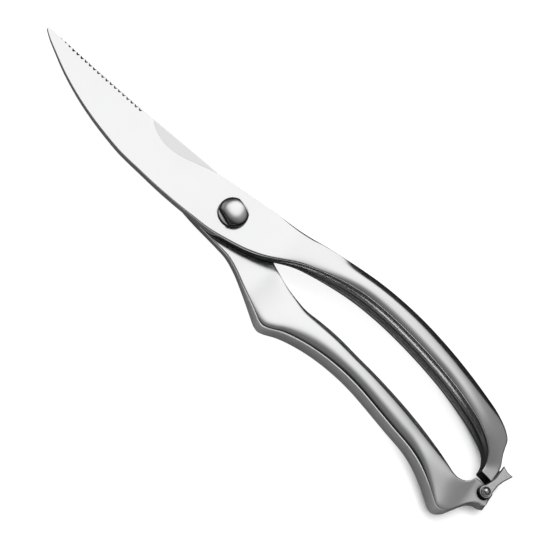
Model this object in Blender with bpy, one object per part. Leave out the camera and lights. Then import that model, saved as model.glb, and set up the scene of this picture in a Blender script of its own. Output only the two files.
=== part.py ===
"""Poultry shears: two one-piece steel halves crossing at a domed pivot bolt,
with a torsion spring hidden between them and a swinging latch clip that holds
the handle ends together.

Frame: +Z up, +X from the pivot towards the handle ends, blade tips towards -X.
The origin lies on the pivot axis, on the flat end of the bolt's shank, so the
shears lie flat with the domed bolt head facing up.  The front half is the upper
one, with its handle on the +Y side; the rear half is the lower one.  The shears
are modelled closed and latched.  Sizes below are in millimetres, and every
piece but the nut is built round the mating plane as its own z = 0.
"""

import math

import bmesh
import bpy
import numpy as np
from mathutils import Vector

MM = 0.001

# ------------------------------------------------------------------ the halves
MATE_Z = 6.9            # height of the mating plane between the two halves
SLIP = 0.15             # each mating face stands this far off the mating plane
SLIP_FADE = 1.6         # a face this far from the plane gets no slip
CLEAR = 0.3             # working gap between neighbouring pieces
OVERCUT = 1.0           # how far cutting tools run past a face

HUB_T = 3.4             # thickness of each half at the pivot
EDGE_T = 0.6            # thickness of the blades at the cutting edge
INNER = 6.0             # front handle: half thickness at its inner edge
OUTER = 4.2             # both handles: half thickness at the outer edge
CROWN = 0.75            # extra rise of the front handle's domed faces
REAR_IN = 4.9           # rear handle: half thickness its faces aim at on the inner edge
REAR_CROWN = 0.66
REAR_ROLL = 2.6         # how far its faces roll off to the inner edge, in crowns
REAR_LIP = 0.4          # and to the outer edge
GROOVE = 1.35           # depth of the two long flutes in a handle's inner wall
LUG_T = 4.1             # half thickness of the flat lug that carries the latch
LUG_ROUND = 2.2         # rounding under the latch lug
LUG_ROUND_X = 138.2     # where that rounding starts
LUG_ROUND_RUN = 2.0     # length over which it grows to full size
BREAK = 0.35            # broken edge along every loft corner

ACROSS = 7              # points across each face of a loft section
WALL = 7                # points between the edges of a fluted wall
LONG_SPAN = 2.0         # spans between ribs longer than this are halved
MIN_SPAN = 0.6          # shortest span length used for the slopes

# --------------------------------------------------------------- pivot hardware
SHANK_R = 3.0
SHANK_CHAMFER = 0.4
BORE_R = SHANK_R + CLEAR
FLANGE_R = 6.1          # round foot of the bolt head
FLANGE_H = 0.7
FLANGE_BREAK_R, FLANGE_BREAK_H = 0.3, 0.25
BOSS_R = 5.95           # part of the head that carries the two flats
BOSS_H = 1.2            # straight side of the boss
BOSS_SINK = 0.3         # overlap of the boss with the flange
BOSS_BREAK_R, BOSS_BREAK_H = 0.2, 0.45
FLAT_HALF = 4.7         # distance from the axis to each flat
FLAT_TURN = -16.0       # degrees, direction of the flats
FLAT_TOOL = (9.0, 5.0, 9.0)  # half length, depth and height of each flat's cutting block
DOME_RISE = 1.6         # height of the domed top above the boss's side
DOME_INSET = 0.6        # the dome's widest ring lies this far inside the boss
DOME_STEPS = 6
WASHER_R, WASHER_H = 5.6, 0.6
NUT_AF, NUT_H = 10.0, 2.0
NUT_Z = 0.3             # the shank stands this far proud of the nut
NUT_CONE_INSET, NUT_CONE_OUTSET, NUT_CONE_H = 0.1, 0.15, 0.85
HEAD_SEGMENTS = 40
HUB_SEGMENTS = 32       # bores, spring pocket and washer

# ----------------------------------------------------------------------- spring
SPRING_R = 4.4          # mean coil radius
WIRE_R = 0.42
COIL_TURNS = 2.5
COIL_RISE = 2.4         # height between the first and the last turn's centres
COIL_END = math.radians(110)
COIL_START = COIL_END - 2 * math.pi * COIL_TURNS
COIL_STEPS = 50
WIRE_SEGMENTS = 8
POCKET_R = 5.5          # spring pocket, half of it in each half of the shears
POCKET_D = 1.9
LEG = 3.2               # straight leg at each end of the coil
LEG_SLOT_HALF = 0.8     # half width of the slot round a leg
LEG_SLOT_BACK = 0.4     # the slot starts this far behind the leg
LEG_SLOT_EXTRA = 0.9    # and ends this far past it
LEG_SLOT_OVERCUT = 0.5

# ----------------------------------------------------------------- opening stop
STOP_R = 8.9            # radius of the opening stop from the pivot axis
STOP_LUG_R = 1.3
STOP_LUG_H = 1.3
STOP_LUG_SINK = 1.5
STOP_LUG_CHAMFER = 0.2
STOP_AT = math.radians(200.0)    # where the lug stands on the rear half
OPENING = math.radians(32.0)     # how far the shears open
STOP_ROOM = (STOP_LUG_R + CLEAR + 0.1) / STOP_R  # angle past the lug at each slot end
STOP_ARC_STEPS = 14

# ---------------------------------------------------------------- edge notches
TEETH = 20
TOOTH_PITCH = 2.15
TOOTH_FIRST = -95.0     # x of the tooth nearest the tip
TOOTH_W, TOOTH_D = 1.3, 0.8
TOOTH_ROOT_HALF = 0.22  # half width at the bottom of the notch
TOOTH_OUT = 0.5         # the notch's tool starts this far outside the edge
TOOTH_TOP = 2.0
EDGE_RIBS = 9           # ribs of the front half that follow the cutting edge

# ------------------------------------------------------------------------ latch
LATCH_PIN = (142.3, -8.8)
LATCH_AT = math.radians(83.3)    # direction of the latched clip
LATCH_GAUGE = 1.1
LATCH_IN = 4.5          # height of the clip's inner faces off the mating plane
LATCH_REACH = 12.0      # pin axis to the inner face of the bridge
BRIDGE_T = 0.55
BRIDGE_HALF = 1.9       # half width of the bridge
BRIDGE_SINK = 0.4       # how far the bridge runs into each plate
EYE_R = 2.75            # rounded end of the clip, about the pin
EYE_FROM, EYE_TO = math.radians(48), math.radians(312)
EYE_STEPS = 14
# (distance from the pin, half width) along the clip, from the eye to the flare
CLIP_SIDE = [(4.0, 1.75), (6.0, 1.45), (8.4, 1.7), (10.6, 2.15), (13.1, 2.6)]
# (distance from the pin, offset across) of the clip's hollow end
CLIP_END = [(12.75, -1.5), (12.6, 0.0), (12.75, 1.5)]
RIVET_R = 1.2
RIVET_HEAD_R = 1.9
RIVET_HEAD_H = 0.85
RIVET_RIM = 0.2         # straight rim of a rivet head
RIVET_GAP = CLEAR - 0.05
RIVET_DOME_STEPS = 5
RIVET_BORE_REACH = 8.0
RIVET_BORE_SEGMENTS = 20

# The halves are lofted through ribs.  Each rib runs across the piece, from its
# "minus" end on the -Y side to its "plus" end on the +Y side.  Columns:
#   plus x, plus y, minus x, minus y, top z at plus, at minus, bottom z at plus,
#   at minus, crown of the top, of the bottom, handle section 0..1, flutes 0..1
FRONT_RIBS = [
    (-101.8, 1.7, -101.7, 0.9, 1.5, 1.6, 0, 0, 0, 0, 0, 0),
    (-98.4, 2.2, -98.4, -1.1, 1.25, 1.8, 0, 0, 0, 0, 0, 0),
    (-92.0, 2.9, -93.0, -3.6, 0.95, 2.0, 0, 0, 0, 0, 0, 0),
    (-84.0, 3.5, -84.0, -7.4, 0.7, 2.3, 0, 0, 0, 0, 0, 0),
    (-75.5, 4.0, -74.0, -10.6, EDGE_T, 2.5, 0, 0, 0, 0, 0, 0),
    (-66.0, 4.7, -64.0, -12.9, EDGE_T, 2.8, 0, 0, 0, 0, 0, 0),
    (-56.0, 5.3, -54.0, -14.4, EDGE_T, 3.0, 0, 0, 0, 0, 0, 0),
    (-50.0, 5.8, -48.0, -15.0, EDGE_T, 3.1, 0, 0, 0, 0, 0, 0),
    (-47.8, 6.0, -46.0, -15.1, EDGE_T, 3.1, 0, 0, 0, 0, 0, 0),
    (-46.6, 4.9, -44.6, -15.1, 0.7, 3.1, 0, 0, 0, 0, 0, 0),
    (-44.4, 3.4, -42.0, -15.1, 0.9, 3.1, 0, 0, 0, 0, 0, 0),
    (-41.0, 2.2, -39.0, -15.0, 1.1, 3.2, 0, 0, 0, 0, 0, 0),
    (-36.5, 1.5, -35.0, -14.9, 1.4, 3.2, 0, 0, 0, 0, 0, 0),
    (-32.0, 2.0, -31.0, -14.8, 1.7, 3.2, 0, 0, 0, 0, 0, 0),
    (-26.0, 3.8, -25.5, -14.6, 2.2, 3.3, 0, 0, 0, 0, 0, 0),
    (-20.0, 6.2, -20.0, -14.2, 2.7, HUB_T, 0, 0, 0, 0, 0, 0),
    (-16.0, 7.6, -15.5, -13.8, 3.1, HUB_T, 0, 0, 0, 0, 0, 0),
    (-9.0, 9.1, -9.0, -13.0, HUB_T, HUB_T, 0, 0, 0, 0, 0, 0),
    (0.0, 11.0, -2.0, -12.1, HUB_T, HUB_T, 0, 0, 0, 0, 0, 0),
    (8.0, 12.7, 6.0, -9.8, HUB_T, HUB_T, 0, 0, 0, 0, 0, 0),
    (16.0, 14.1, 14.0, -7.2, 3.8, 3.9, 0, 0, 0.05, 0, 0, 0),
    (23.0, 15.4, 20.0, -4.3, 4.3, 4.5, 0, 0.05, 0.1, 0, 0.1, 0),
    (29.0, 16.6, 25.3, -0.6, 4.9, 4.9, 0, 0.4, 0.35, 0, 0.3, 0.35),
    (36.0, 18.1, 31.6, 4.0, 5.35, 5.3, -1.6, -0.6, 0.5, 0.2, 0.3, 0.7),
    (42.0, 19.7, 37.6, 7.2, 5.1, 5.7, -2.7, -2.2, 0.6, 0.5, 0.5, 0.9),
    (49.0, 21.7, 46.2, 10.9, 4.55, INNER, -3.6, -4.2, 0.7, CROWN, 0.8, 1),
    (58.0, 23.7, 56.0, 14.0, OUTER, INNER, -OUTER, -5.7, CROWN, CROWN, 1, 1),
    (70.0, 25.1, 70.0, 15.7, OUTER, INNER, -OUTER, -INNER, CROWN, CROWN, 1, 1),
    (80.0, 25.5, 80.0, 15.9, OUTER, INNER, -OUTER, -INNER, CROWN, CROWN, 1, 1),
    (93.0, 25.0, 92.0, 15.5, OUTER, INNER, -OUTER, -INNER, CROWN, CROWN, 1, 1),
    (106.2, 23.5, 104.0, 14.4, 4.3, INNER, -4.3, -INNER, CROWN, CROWN, 1, 1),
    (118.3, 21.2, 115.0, 12.5, 4.7, INNER, -4.7, -INNER, 0.6, 0.6, 1, 0.9),
    (127.4, 19.1, 123.0, 10.5, 4.7, 5.7, -4.7, -5.7, 0.5, 0.5, 0.8, 0.7),
    (132.9, 16.8, 128.0, 8.5, 4.5, 5.2, -4.5, -5.2, 0.4, 0.4, 0.5, 0.4),
    (136.1, 14.2, 131.2, 6.8, 4.2, 4.6, -4.2, -4.6, 0.3, 0.3, 0.3, 0.2),
    (137.3, 11.4, 133.4, 5.0, 3.9, 4.1, -3.9, -4.1, 0.2, 0.2, 0.2, 0),
    (138.5, 8.8, 134.7, 3.1, 3.6, 3.6, -3.6, -3.6, 0.1, 0.1, 0.1, 0),
    (140.0, 6.4, 135.5, 1.6, 3.2, 3.2, -3.2, -3.2, 0, 0, 0, 0),
    (141.1, 4.5, 135.9, 0.4, 3, 3, -3, -3, 0, 0, 0, 0),
    (141.4, 3.1, 136.1, -0.4, 3, 3, -3, -3, 0, 0, 0, 0),
    (143.4, 2.7, 136.2, -1.0, 3, 3, -3, -3, 0, 0, 0, 0),
    (144.0, 2.1, 136.3, -1.5, 3, 3, -3, -3, 0, 0, 0, 0),
    (144.0, -2.2, 136.5, -2.4, 3, 3, -3, -3, 0, 0, 0, 0),
    (143.6, -2.7, 137.0, -2.8, 3, 3, -3, -3, 0, 0, 0, 0),
]
REAR_RIBS = [
    (-101.0, 1.5, -101.2, 0.9, 0, 0, -0.7, -0.5, 0, 0, 0, 0),
    (-98.0, 2.3, -98.0, -0.2, 0, 0, -0.9, -EDGE_T, 0, 0, 0, 0),
    (-92.0, 3.1, -92.0, -1.9, 0, 0, -1.4, -EDGE_T, 0, 0, 0, 0),
    (-84.0, 3.8, -84.0, -3.9, 0, 0, -1.9, -EDGE_T, 0, 0, 0, 0),
    (-75.0, 4.4, -75.0, -5.7, 0, 0, -2.4, -EDGE_T, 0, 0, 0, 0),
    (-65.0, 5.1, -65.0, -7.2, 0, 0, -2.8, -EDGE_T, 0, 0, 0, 0),
    (-55.0, 5.8, -55.0, -8.4, 0, 0, -3.0, -EDGE_T, 0, 0, 0, 0),
    (-45.0, 6.8, -45.0, -9.3, 0, 0, -3.1, -0.7, 0, 0, 0, 0),
    (-35.0, 7.8, -35.0, -10.0, 0, 0, -3.2, -1.1, 0, 0, 0, 0),
    (-25.0, 8.8, -25.0, -10.9, 0, 0, -3.3, -2.0, 0, 0, 0, 0),
    (-15.0, 9.6, -15.0, -11.9, 0, 0, -HUB_T, -3.1, 0, 0, 0, 0),
    (-6.0, 10.1, -7.0, -12.3, 0, 0, -HUB_T, -HUB_T, 0, 0, 0, 0),
    (2.0, 10.2, 0.0, -12.4, 0, 0, -HUB_T, -HUB_T, 0, 0, 0, 0),
    (8.0, 9.4, 5.0, -12.5, 0, 0, -HUB_T, -HUB_T, 0, 0, 0, 0),
    (13.0, 7.4, 9.6, -12.6, 0, 0, -3.6, -3.6, 0, 0.1, 0, 0),
    (17.5, 4.2, 13.1, -13.4, 0, 0, -3.9, -3.8, 0, 0.2, 0, 0),
    (21.0, 1.4, 17.2, -14.8, 0, 0, -4.2, -3.9, 0, 0.3, 0, 0),
    (24.2, -0.9, 22.5, -17.3, 0, 0.1, -4.4, -4.0, 0, 0.4, 0, 0),
    (28.0, -2.5, 27.0, -19.5, 0.75, 1.0, -4.6, -4.1, 0.2, 0.5, 0, 0),
    (33.4, -4.7, 32.5, -22.4, 1.9, 2.1, -4.8, -OUTER, 0.45, 0.6, 0.1, 0.2),
    (38.0, -5.9, 36.8, -24.5, 2.9, 2.8, -4.9, -OUTER, 0.6, REAR_CROWN, 0.25, 0.5),
    (40.0, -6.3, 38.8, -24.8, 3.3, 3.0, -4.9, -OUTER, 0.6, REAR_CROWN, 0.3, 0.6),
    (42.0, -6.6, 41.0, -23.9, 3.6, 3.2, -4.9, -OUTER, REAR_CROWN, REAR_CROWN, 0.4, 0.7),
    (46.0, -7.0, 45.0, -21.4, 4.2, 3.6, -4.9, -OUTER, REAR_CROWN, REAR_CROWN, 0.6, 0.9),
    (52.6, -6.1, 52.0, -18.6, 4.7, 4.0, -4.9, -OUTER, REAR_CROWN, REAR_CROWN, 0.9, 1),
    (62.0, -5.3, 62.0, -16.1, REAR_IN, OUTER, -REAR_IN, -OUTER, REAR_CROWN, REAR_CROWN, 1, 1),
    (72.0, -5.4, 72.0, -15.0, REAR_IN, OUTER, -REAR_IN, -OUTER, REAR_CROWN, REAR_CROWN, 1, 1),
    (82.0, -5.4, 81.0, -15.0, REAR_IN, OUTER, -REAR_IN, -OUTER, REAR_CROWN, REAR_CROWN, 1, 1),
    (92.0, -5.8, 91.0, -15.9, REAR_IN, OUTER, -REAR_IN, -OUTER, REAR_CROWN, REAR_CROWN, 1, 1),
    (102.0, -6.6, 101.0, -16.9, REAR_IN, OUTER, -REAR_IN, -OUTER, REAR_CROWN, REAR_CROWN, 1, 1),
    (112.0, -7.9, 110.0, -17.7, REAR_IN, OUTER, -REAR_IN, -OUTER, REAR_CROWN, REAR_CROWN, 1, 1),
    (119.0, -9.4, 115.5, -19.0, 5.0, OUTER, -5.0, -OUTER, REAR_CROWN, REAR_CROWN, 0.8, 0.8),
    (125.6, -11.2, 121.0, -21.1, 5.1, OUTER, -5.1, -OUTER, 0.5, 0.5, 0.5, 0.4),
    (129.0, -12.1, 126.0, -23.6, 5.1, OUTER, -5.1, -OUTER, 0.35, 0.35, 0.3, 0),
    (131.5, -12.0, 129.9, -25.9, 5.0, OUTER, -5.0, -OUTER, 0.25, 0.25, 0.1, 0),
    (133.4, -11.2, 132.2, -27.0, 4.8, OUTER, -4.8, -OUTER, 0.2, 0.2, 0, 0),
    (134.8, -9.9, 134.5, -26.4, 4.6, OUTER, -4.6, -OUTER, 0.15, 0.15, 0, 0),
    (135.9, -7.9, 136.6, -24.3, 4.3, OUTER, -4.3, -OUTER, 0.1, 0.1, 0, 0),
    (136.5, -6.5, 138.2, -20.9, LUG_T, LUG_T, -LUG_T, -LUG_T, 0, 0, 0, 0),
    (139.0, -6.2, 139.9, -17.3, LUG_T, LUG_T, -LUG_T, -LUG_T, 0, 0, 0, 0),
    (141.5, -6.2, 141.9, -14.6, LUG_T, LUG_T, -LUG_T, -LUG_T, 0, 0, 0, 0),
    (143.6, -6.3, 143.9, -13.3, LUG_T, LUG_T, -LUG_T, -LUG_T, 0, 0, 0, 0),
    (145.0, -6.5, 145.8, -12.9, LUG_T, LUG_T, -LUG_T, -LUG_T, 0, 0, 0, 0),
    (145.9, -7.6, 146.3, -11.6, LUG_T, LUG_T, -LUG_T, -LUG_T, 0, 0, 0, 0),
]


# -------------------------------------------------------------------- scene
def clear_scene():
    for obj in list(bpy.data.objects):
        bpy.data.objects.remove(obj, do_unlink=True)


def metal(name, colour, roughness):
    mat = bpy.data.materials.new(name)
    mat.use_nodes = True
    shader = mat.node_tree.nodes["Principled BSDF"]
    shader.inputs["Base Color"].default_value = (*colour, 1.0)
    shader.inputs["Roughness"].default_value = roughness
    shader.inputs["Metallic"].default_value = 1.0
    mat.diffuse_color = (*colour, 1.0)
    return mat


def add_piece(name, body, mat=None, origin=(0, 0, 0), sharp_angle=30):
    """An object whose mesh is given in millimetres round its own origin."""
    bmesh.ops.scale(body, vec=(MM, MM, MM), verts=body.verts)
    bmesh.ops.recalc_face_normals(body, faces=body.faces)
    mesh = bpy.data.meshes.new(name)
    body.to_mesh(mesh)
    body.free()
    obj = bpy.data.objects.new(name, mesh)
    bpy.context.scene.collection.objects.link(obj)
    obj.location = Vector(origin) * MM
    if mat:
        mesh.materials.append(mat)
    mesh.shade_smooth()
    mesh.set_sharp_from_angle(angle=math.radians(sharp_angle))
    return obj


def add_tool(name, body, parent):
    """A hidden guide body for a Boolean, moving with its parent piece."""
    tool = add_piece(name, body)
    tool.parent = parent
    tool.hide_render = True
    tool.display_type = "WIRE"
    return tool


def boolean(obj, tool, operation="DIFFERENCE"):
    modifier = obj.modifiers.new(operation.title() + "_" + tool.name, "BOOLEAN")
    modifier.object = tool
    modifier.operation = operation
    modifier.solver = "EXACT"


def shape(obj, tool_name, body, operation="DIFFERENCE"):
    """Cut, join or intersect a piece with a new tool body of its own."""
    boolean(obj, add_tool(tool_name, body, obj), operation)


# ------------------------------------------------------------ basic shapes
def polar(radius, angle):
    return (radius * math.cos(angle), radius * math.sin(angle))


def arc(radius, start, end, steps):
    return [polar(radius, start + (end - start) * i / steps) for i in range(steps + 1)]


def placed(points, turn, centre=(0.0, 0.0)):
    """Plan points turned about the origin, then moved to a centre."""
    cos, sin = math.cos(turn), math.sin(turn)
    return [(centre[0] + x * cos - y * sin, centre[1] + x * sin + y * cos) for x, y in points]


def circle(radius, z, segments, centre=(0.0, 0.0), turn=0.0):
    angles = [turn + 2 * math.pi * i / segments for i in range(segments)]
    return [
        (centre[0] + radius * math.cos(a), centre[1] + radius * math.sin(a), z) for a in angles
    ]


def join_rows(body, row, following):
    count = len(row)
    for i in range(count):
        j = (i + 1) % count
        body.faces.new((row[i], row[j], following[j], following[i]))


def skinned(*solids):
    """A body of solids, each a row of equal closed loops capped at both ends."""
    body = bmesh.new()
    for loops in solids:
        rows = [[body.verts.new(point) for point in loop] for loop in loops]
        for row, following in zip(rows, rows[1:]):
            join_rows(body, row, following)
        body.faces.new(list(reversed(rows[0])))
        body.faces.new(rows[-1])
    return body


def turned(profile, segments, centre=(0.0, 0.0), turn=0.0):
    """A solid of revolution about a vertical axis from (radius, height) pairs."""
    return skinned([circle(radius, z, segments, centre, turn) for radius, z in profile])


def cylinder(radius, bottom, top, segments=HUB_SEGMENTS, centre=(0.0, 0.0)):
    return turned([(radius, bottom), (radius, top)], segments, centre)


def prisms(bottom, top, *outlines):
    return skinned(*[[[(x, y, z) for x, y in outline] for z in (bottom, top)]
                     for outline in outlines])


def ring(inner, outer, bottom, top, segments):
    """A flat washer shape: four joined circles closing on themselves."""
    body = bmesh.new()
    corners = [(outer, bottom), (outer, top), (inner, top), (inner, bottom)]
    rows = [[body.verts.new(point) for point in circle(radius, z, segments)]
            for radius, z in corners]
    for row, following in zip(rows, rows[1:] + rows[:1]):
        join_rows(body, row, following)
    return body


# -------------------------------------------------------- lofted half bodies
def smooth_rows(ribs):
    """Rows along a cubic through the ribs; long spans get a row halfway."""
    ribs = np.array(ribs, dtype=float)
    middle = (ribs[:, 0:2] + ribs[:, 2:4]) / 2
    spans = np.maximum(np.linalg.norm(np.diff(middle, axis=0), axis=1), MIN_SPAN)
    slope = np.diff(ribs, axis=0) / spans[:, None]
    tangent = np.empty_like(ribs)
    tangent[0], tangent[-1] = slope[0], slope[-1]
    for i in range(1, len(ribs) - 1):
        before, after = spans[i - 1], spans[i]
        tangent[i] = (slope[i - 1] * after + slope[i] * before) / (before + after)
    rows = []
    for i, span in enumerate(spans):
        count = 2 if span > LONG_SPAN else 1
        for k in range(count):
            u = k / count
            rows.append(
                (2 * u**3 - 3 * u**2 + 1) * ribs[i]
                + (u**3 - 2 * u**2 + u) * span * tangent[i]
                + (-2 * u**3 + 3 * u**2) * ribs[i + 1]
                + (u**3 - u**2) * span * tangent[i + 1]
            )
    rows.append(ribs[-1])
    return rows


def side_wall(point, end, z_from, z_to, width, flutes):
    """A side wall at one end of a rib.  An inner wall has two flutes with a bead
    between them; flutes is None for a plain wall."""
    if flutes is None:
        return [point(end, z_from), point(end, z_to)]
    inward = 1.0 if end == 0.0 else -1.0
    points = []
    for i in range(WALL + 2):
        v = i / (WALL + 1)
        depth = GROOVE * flutes * math.sin(2 * math.pi * v) ** 2
        points.append(point(end + inward * depth / width, z_from + (z_to - z_from) * v))
    return points


def section(row, is_front):
    """One closed section loop of a half; 'across' runs 0..1 from minus to plus."""
    plus, minus = row[0:2], row[2:4]
    top_plus, top_minus, low_plus, low_minus, top_crown, low_crown, handle, flutes = row[4:]
    width = np.linalg.norm(plus - minus)
    thin = min(top_plus - low_plus, top_minus - low_minus)
    corner = min(BREAK, 0.25 * thin, 0.2 * width)
    # the lug of the rear half is rounded away underneath, on its -Y side
    low_corner = corner
    if not is_front:
        growth = ((plus[0] + minus[0]) / 2 - LUG_ROUND_X) / LUG_ROUND_RUN
        low_corner = max(corner, LUG_ROUND * min(1.0, max(0.0, growth)))

    def face_z(across, at_plus, at_minus, crown):
        if is_front:
            blend = (1 - handle) * across + handle * across**3
            return at_minus + (at_plus - at_minus) * blend + crown * 4 * across * (1 - across)
        dome = 1 - abs(2 * across - 1) ** (2 + 6 * (1 - handle))
        roll = handle * (REAR_ROLL * across**4 + REAR_LIP * (1 - across) ** 10)
        return at_minus + (at_plus - at_minus) * across + crown * (dome - roll)

    def top_z(across):
        return face_z(across, top_plus, top_minus, top_crown)

    def low_z(across):
        return face_z(across, low_plus, low_minus, -low_crown)

    def point(across, z):
        x, y = minus + (plus - minus) * across
        return (x, y, z)

    def face(height, minus_corner):
        start, end = minus_corner / width, corner / width
        spots = [start + (1 - end - start) * i / (ACROSS - 1) for i in range(ACROSS)]
        return [point(across, height(across)) for across in spots]

    plus_wall = side_wall(
        point, 1.0, top_z(1) - corner, low_z(1) + corner, width, None if is_front else flutes
    )
    minus_wall = side_wall(
        point, 0.0, low_z(0) + low_corner, top_z(0) - corner, width, flutes if is_front else None
    )
    return face(top_z, corner) + plus_wall + face(low_z, low_corner)[::-1] + minus_wall


def loft(ribs, is_front):
    """A half's body, its mating face held off the mating plane by the slip."""
    slip, mating_columns = (SLIP, (6, 7)) if is_front else (-SLIP, (4, 5))
    loops = []
    for row in smooth_rows(ribs):
        for column in mating_columns:
            row[column] += slip * max(0.0, 1 - abs(row[column]) / SLIP_FADE) ** 2
        loops.append(section(row, is_front))
    return skinned(loops)


# ------------------------------------------------------ tools for the halves
def leg_frame(end):
    """Start and direction of a spring leg; end is +1 for the upper, -1 the lower."""
    turn = COIL_END if end > 0 else COIL_START
    start = Vector((*polar(SPRING_R, turn), end * COIL_RISE / 2))
    along = Vector((-math.sin(turn), math.cos(turn), 0)) * end
    return start, along


def leg_slot(end):
    """A short straight slot for a spring leg, opening into the pocket."""
    start, along = leg_frame(end)
    side = Vector((-along.y, along.x, 0)) * LEG_SLOT_HALF
    near, far = start - along * LEG_SLOT_BACK, start + along * (LEG + LEG_SLOT_EXTRA)
    outline = [(v.x, v.y) for v in (near - side, far - side, far + side, near + side)]
    bottom, top = sorted((-end * LEG_SLOT_OVERCUT, end * POCKET_D))
    return prisms(bottom, top, outline)


def stop_slot():
    """Curved slot in which the rear half's stop lug travels."""
    start, end = STOP_AT - OPENING - STOP_ROOM, STOP_AT + STOP_ROOM
    reach = STOP_LUG_R + CLEAR
    outer = arc(STOP_R + reach, start, end, STOP_ARC_STEPS)
    inner = arc(STOP_R - reach, end, start, STOP_ARC_STEPS)
    return prisms(-OVERCUT, STOP_LUG_H + CLEAR, outer + inner)


def edge_at(x):
    """The front half's cutting edge at a given x: its y and its direction."""
    points = [rib[:2] for rib in FRONT_RIBS[:EDGE_RIBS]]
    (x0, y0), (x1, y1) = next(
        (start, end) for start, end in zip(points, points[1:]) if start[0] <= x <= end[0]
    )
    return y0 + (x - x0) / (x1 - x0) * (y1 - y0), math.atan2(y1 - y0, x1 - x0)


def serration():
    """Fine notches that stop a bone or a joint from sliding along the edge."""
    notch = [
        (-TOOTH_W / 2, TOOTH_OUT),
        (-TOOTH_ROOT_HALF, -TOOTH_D),
        (TOOTH_ROOT_HALF, -TOOTH_D),
        (TOOTH_W / 2, TOOTH_OUT),
    ]
    outlines = []
    for i in range(TEETH):
        x = TOOTH_FIRST + TOOTH_PITCH * i
        y, turn = edge_at(x)
        outlines.append(placed(notch, turn, (x, y)))
    return prisms(-OVERCUT, TOOTH_TOP, *outlines)


# ------------------------------------------------------------------- pieces
def build_front(mat):
    obj = add_piece("front_half", loft(FRONT_RIBS, True), mat, (0, 0, MATE_Z))
    shape(obj, "cut_front_bore", cylinder(BORE_R, -OVERCUT, HUB_T + OVERCUT))
    shape(obj, "cut_front_pocket", cylinder(POCKET_R, -OVERCUT, POCKET_D))
    shape(obj, "cut_front_leg_slot", leg_slot(1))
    shape(obj, "cut_front_stop_slot", stop_slot())
    shape(obj, "cut_front_serration", serration())


def build_rear(mat):
    obj = add_piece("rear_half", loft(REAR_RIBS, False), mat, (0, 0, MATE_Z))
    lug_profile = [
        (STOP_LUG_R, -STOP_LUG_SINK),
        (STOP_LUG_R, STOP_LUG_H - STOP_LUG_CHAMFER),
        (STOP_LUG_R - STOP_LUG_CHAMFER, STOP_LUG_H),
    ]
    lug = turned(lug_profile, segments=16, centre=polar(STOP_R, STOP_AT))
    shape(obj, "add_stop_lug", lug, "UNION")
    shape(obj, "cut_rear_bore", cylinder(BORE_R, -HUB_T - OVERCUT, OVERCUT))
    shape(obj, "cut_rear_pocket", cylinder(POCKET_R, -POCKET_D, OVERCUT))
    shape(obj, "cut_rear_leg_slot", leg_slot(-1))
    shape(obj, "cut_rivet_bore", rivet_bore(LATCH_PIN))


def build_bolt(mat):
    """Shank, round foot, a boss with two flats, and a polished dome."""
    seat = HUB_T + CLEAR
    top = seat + FLANGE_H
    profile = [
        (SHANK_R - SHANK_CHAMFER, -MATE_Z),
        (SHANK_R, -MATE_Z + SHANK_CHAMFER),
        (SHANK_R, seat),
        (FLANGE_R, seat),
        (FLANGE_R, top - FLANGE_BREAK_H),
        (FLANGE_R - FLANGE_BREAK_R, top),
        (SHANK_R, top),
    ]
    obj = add_piece("pivot_bolt", turned(profile, HEAD_SEGMENTS), mat, (0, 0, MATE_Z))

    side = top + BOSS_H
    profile = [
        (BOSS_R, top - BOSS_SINK),
        (BOSS_R, side - BOSS_BREAK_H),
        (BOSS_R - BOSS_BREAK_R, side),
    ]
    for i in range(DOME_STEPS):
        radius = (BOSS_R - DOME_INSET) * (1 - i / DOME_STEPS)
        profile.append((radius, side + DOME_RISE * (1 - (radius / BOSS_R) ** 3)))
    boss = add_tool("add_head_boss", turned(profile, HEAD_SEGMENTS), obj)

    half, depth, height = FLAT_TOOL
    near, far = FLAT_HALF, FLAT_HALF + depth
    block = [(-half, near), (half, near), (half, far), (-half, far)]
    outlines = [
        placed([(x * sign, y * sign) for x, y in block], math.radians(FLAT_TURN))
        for sign in (-1, 1)
    ]
    # the flats are cut from the boss only, before it joins the round foot
    boolean(boss, add_tool("cut_head_flats", prisms(top, top + height, *outlines), obj))
    boolean(obj, boss, "UNION")


def build_washer(mat):
    top = -HUB_T - CLEAR
    body = ring(BORE_R, WASHER_R, top - WASHER_H, top, HUB_SEGMENTS)
    add_piece("pivot_washer", body, mat, (0, 0, MATE_Z))


def build_nut(mat):
    """Thin hexagonal nut on the end of the shank, built up from its lower face."""
    corner = NUT_AF / 2 / math.cos(math.pi / 6)
    hexagon = turned([(corner, 0), (corner, NUT_H)], segments=6, turn=math.pi / 6)
    obj = add_piece("pivot_nut", hexagon, mat, (0, 0, NUT_Z))

    # corners taken off towards the lower, outer face by a turned cone
    cone = [
        (NUT_AF / 2 - NUT_CONE_INSET, -1e-6),  # a hair below the nut's face
        (corner + NUT_CONE_OUTSET, NUT_CONE_H),
        (corner + NUT_CONE_OUTSET, NUT_H + OVERCUT),
    ]
    shape(obj, "cut_nut_corners", turned(cone, segments=36), "INTERSECT")
    shape(obj, "cut_nut_bore", cylinder(BORE_R, -OVERCUT, NUT_H + OVERCUT))


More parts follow.
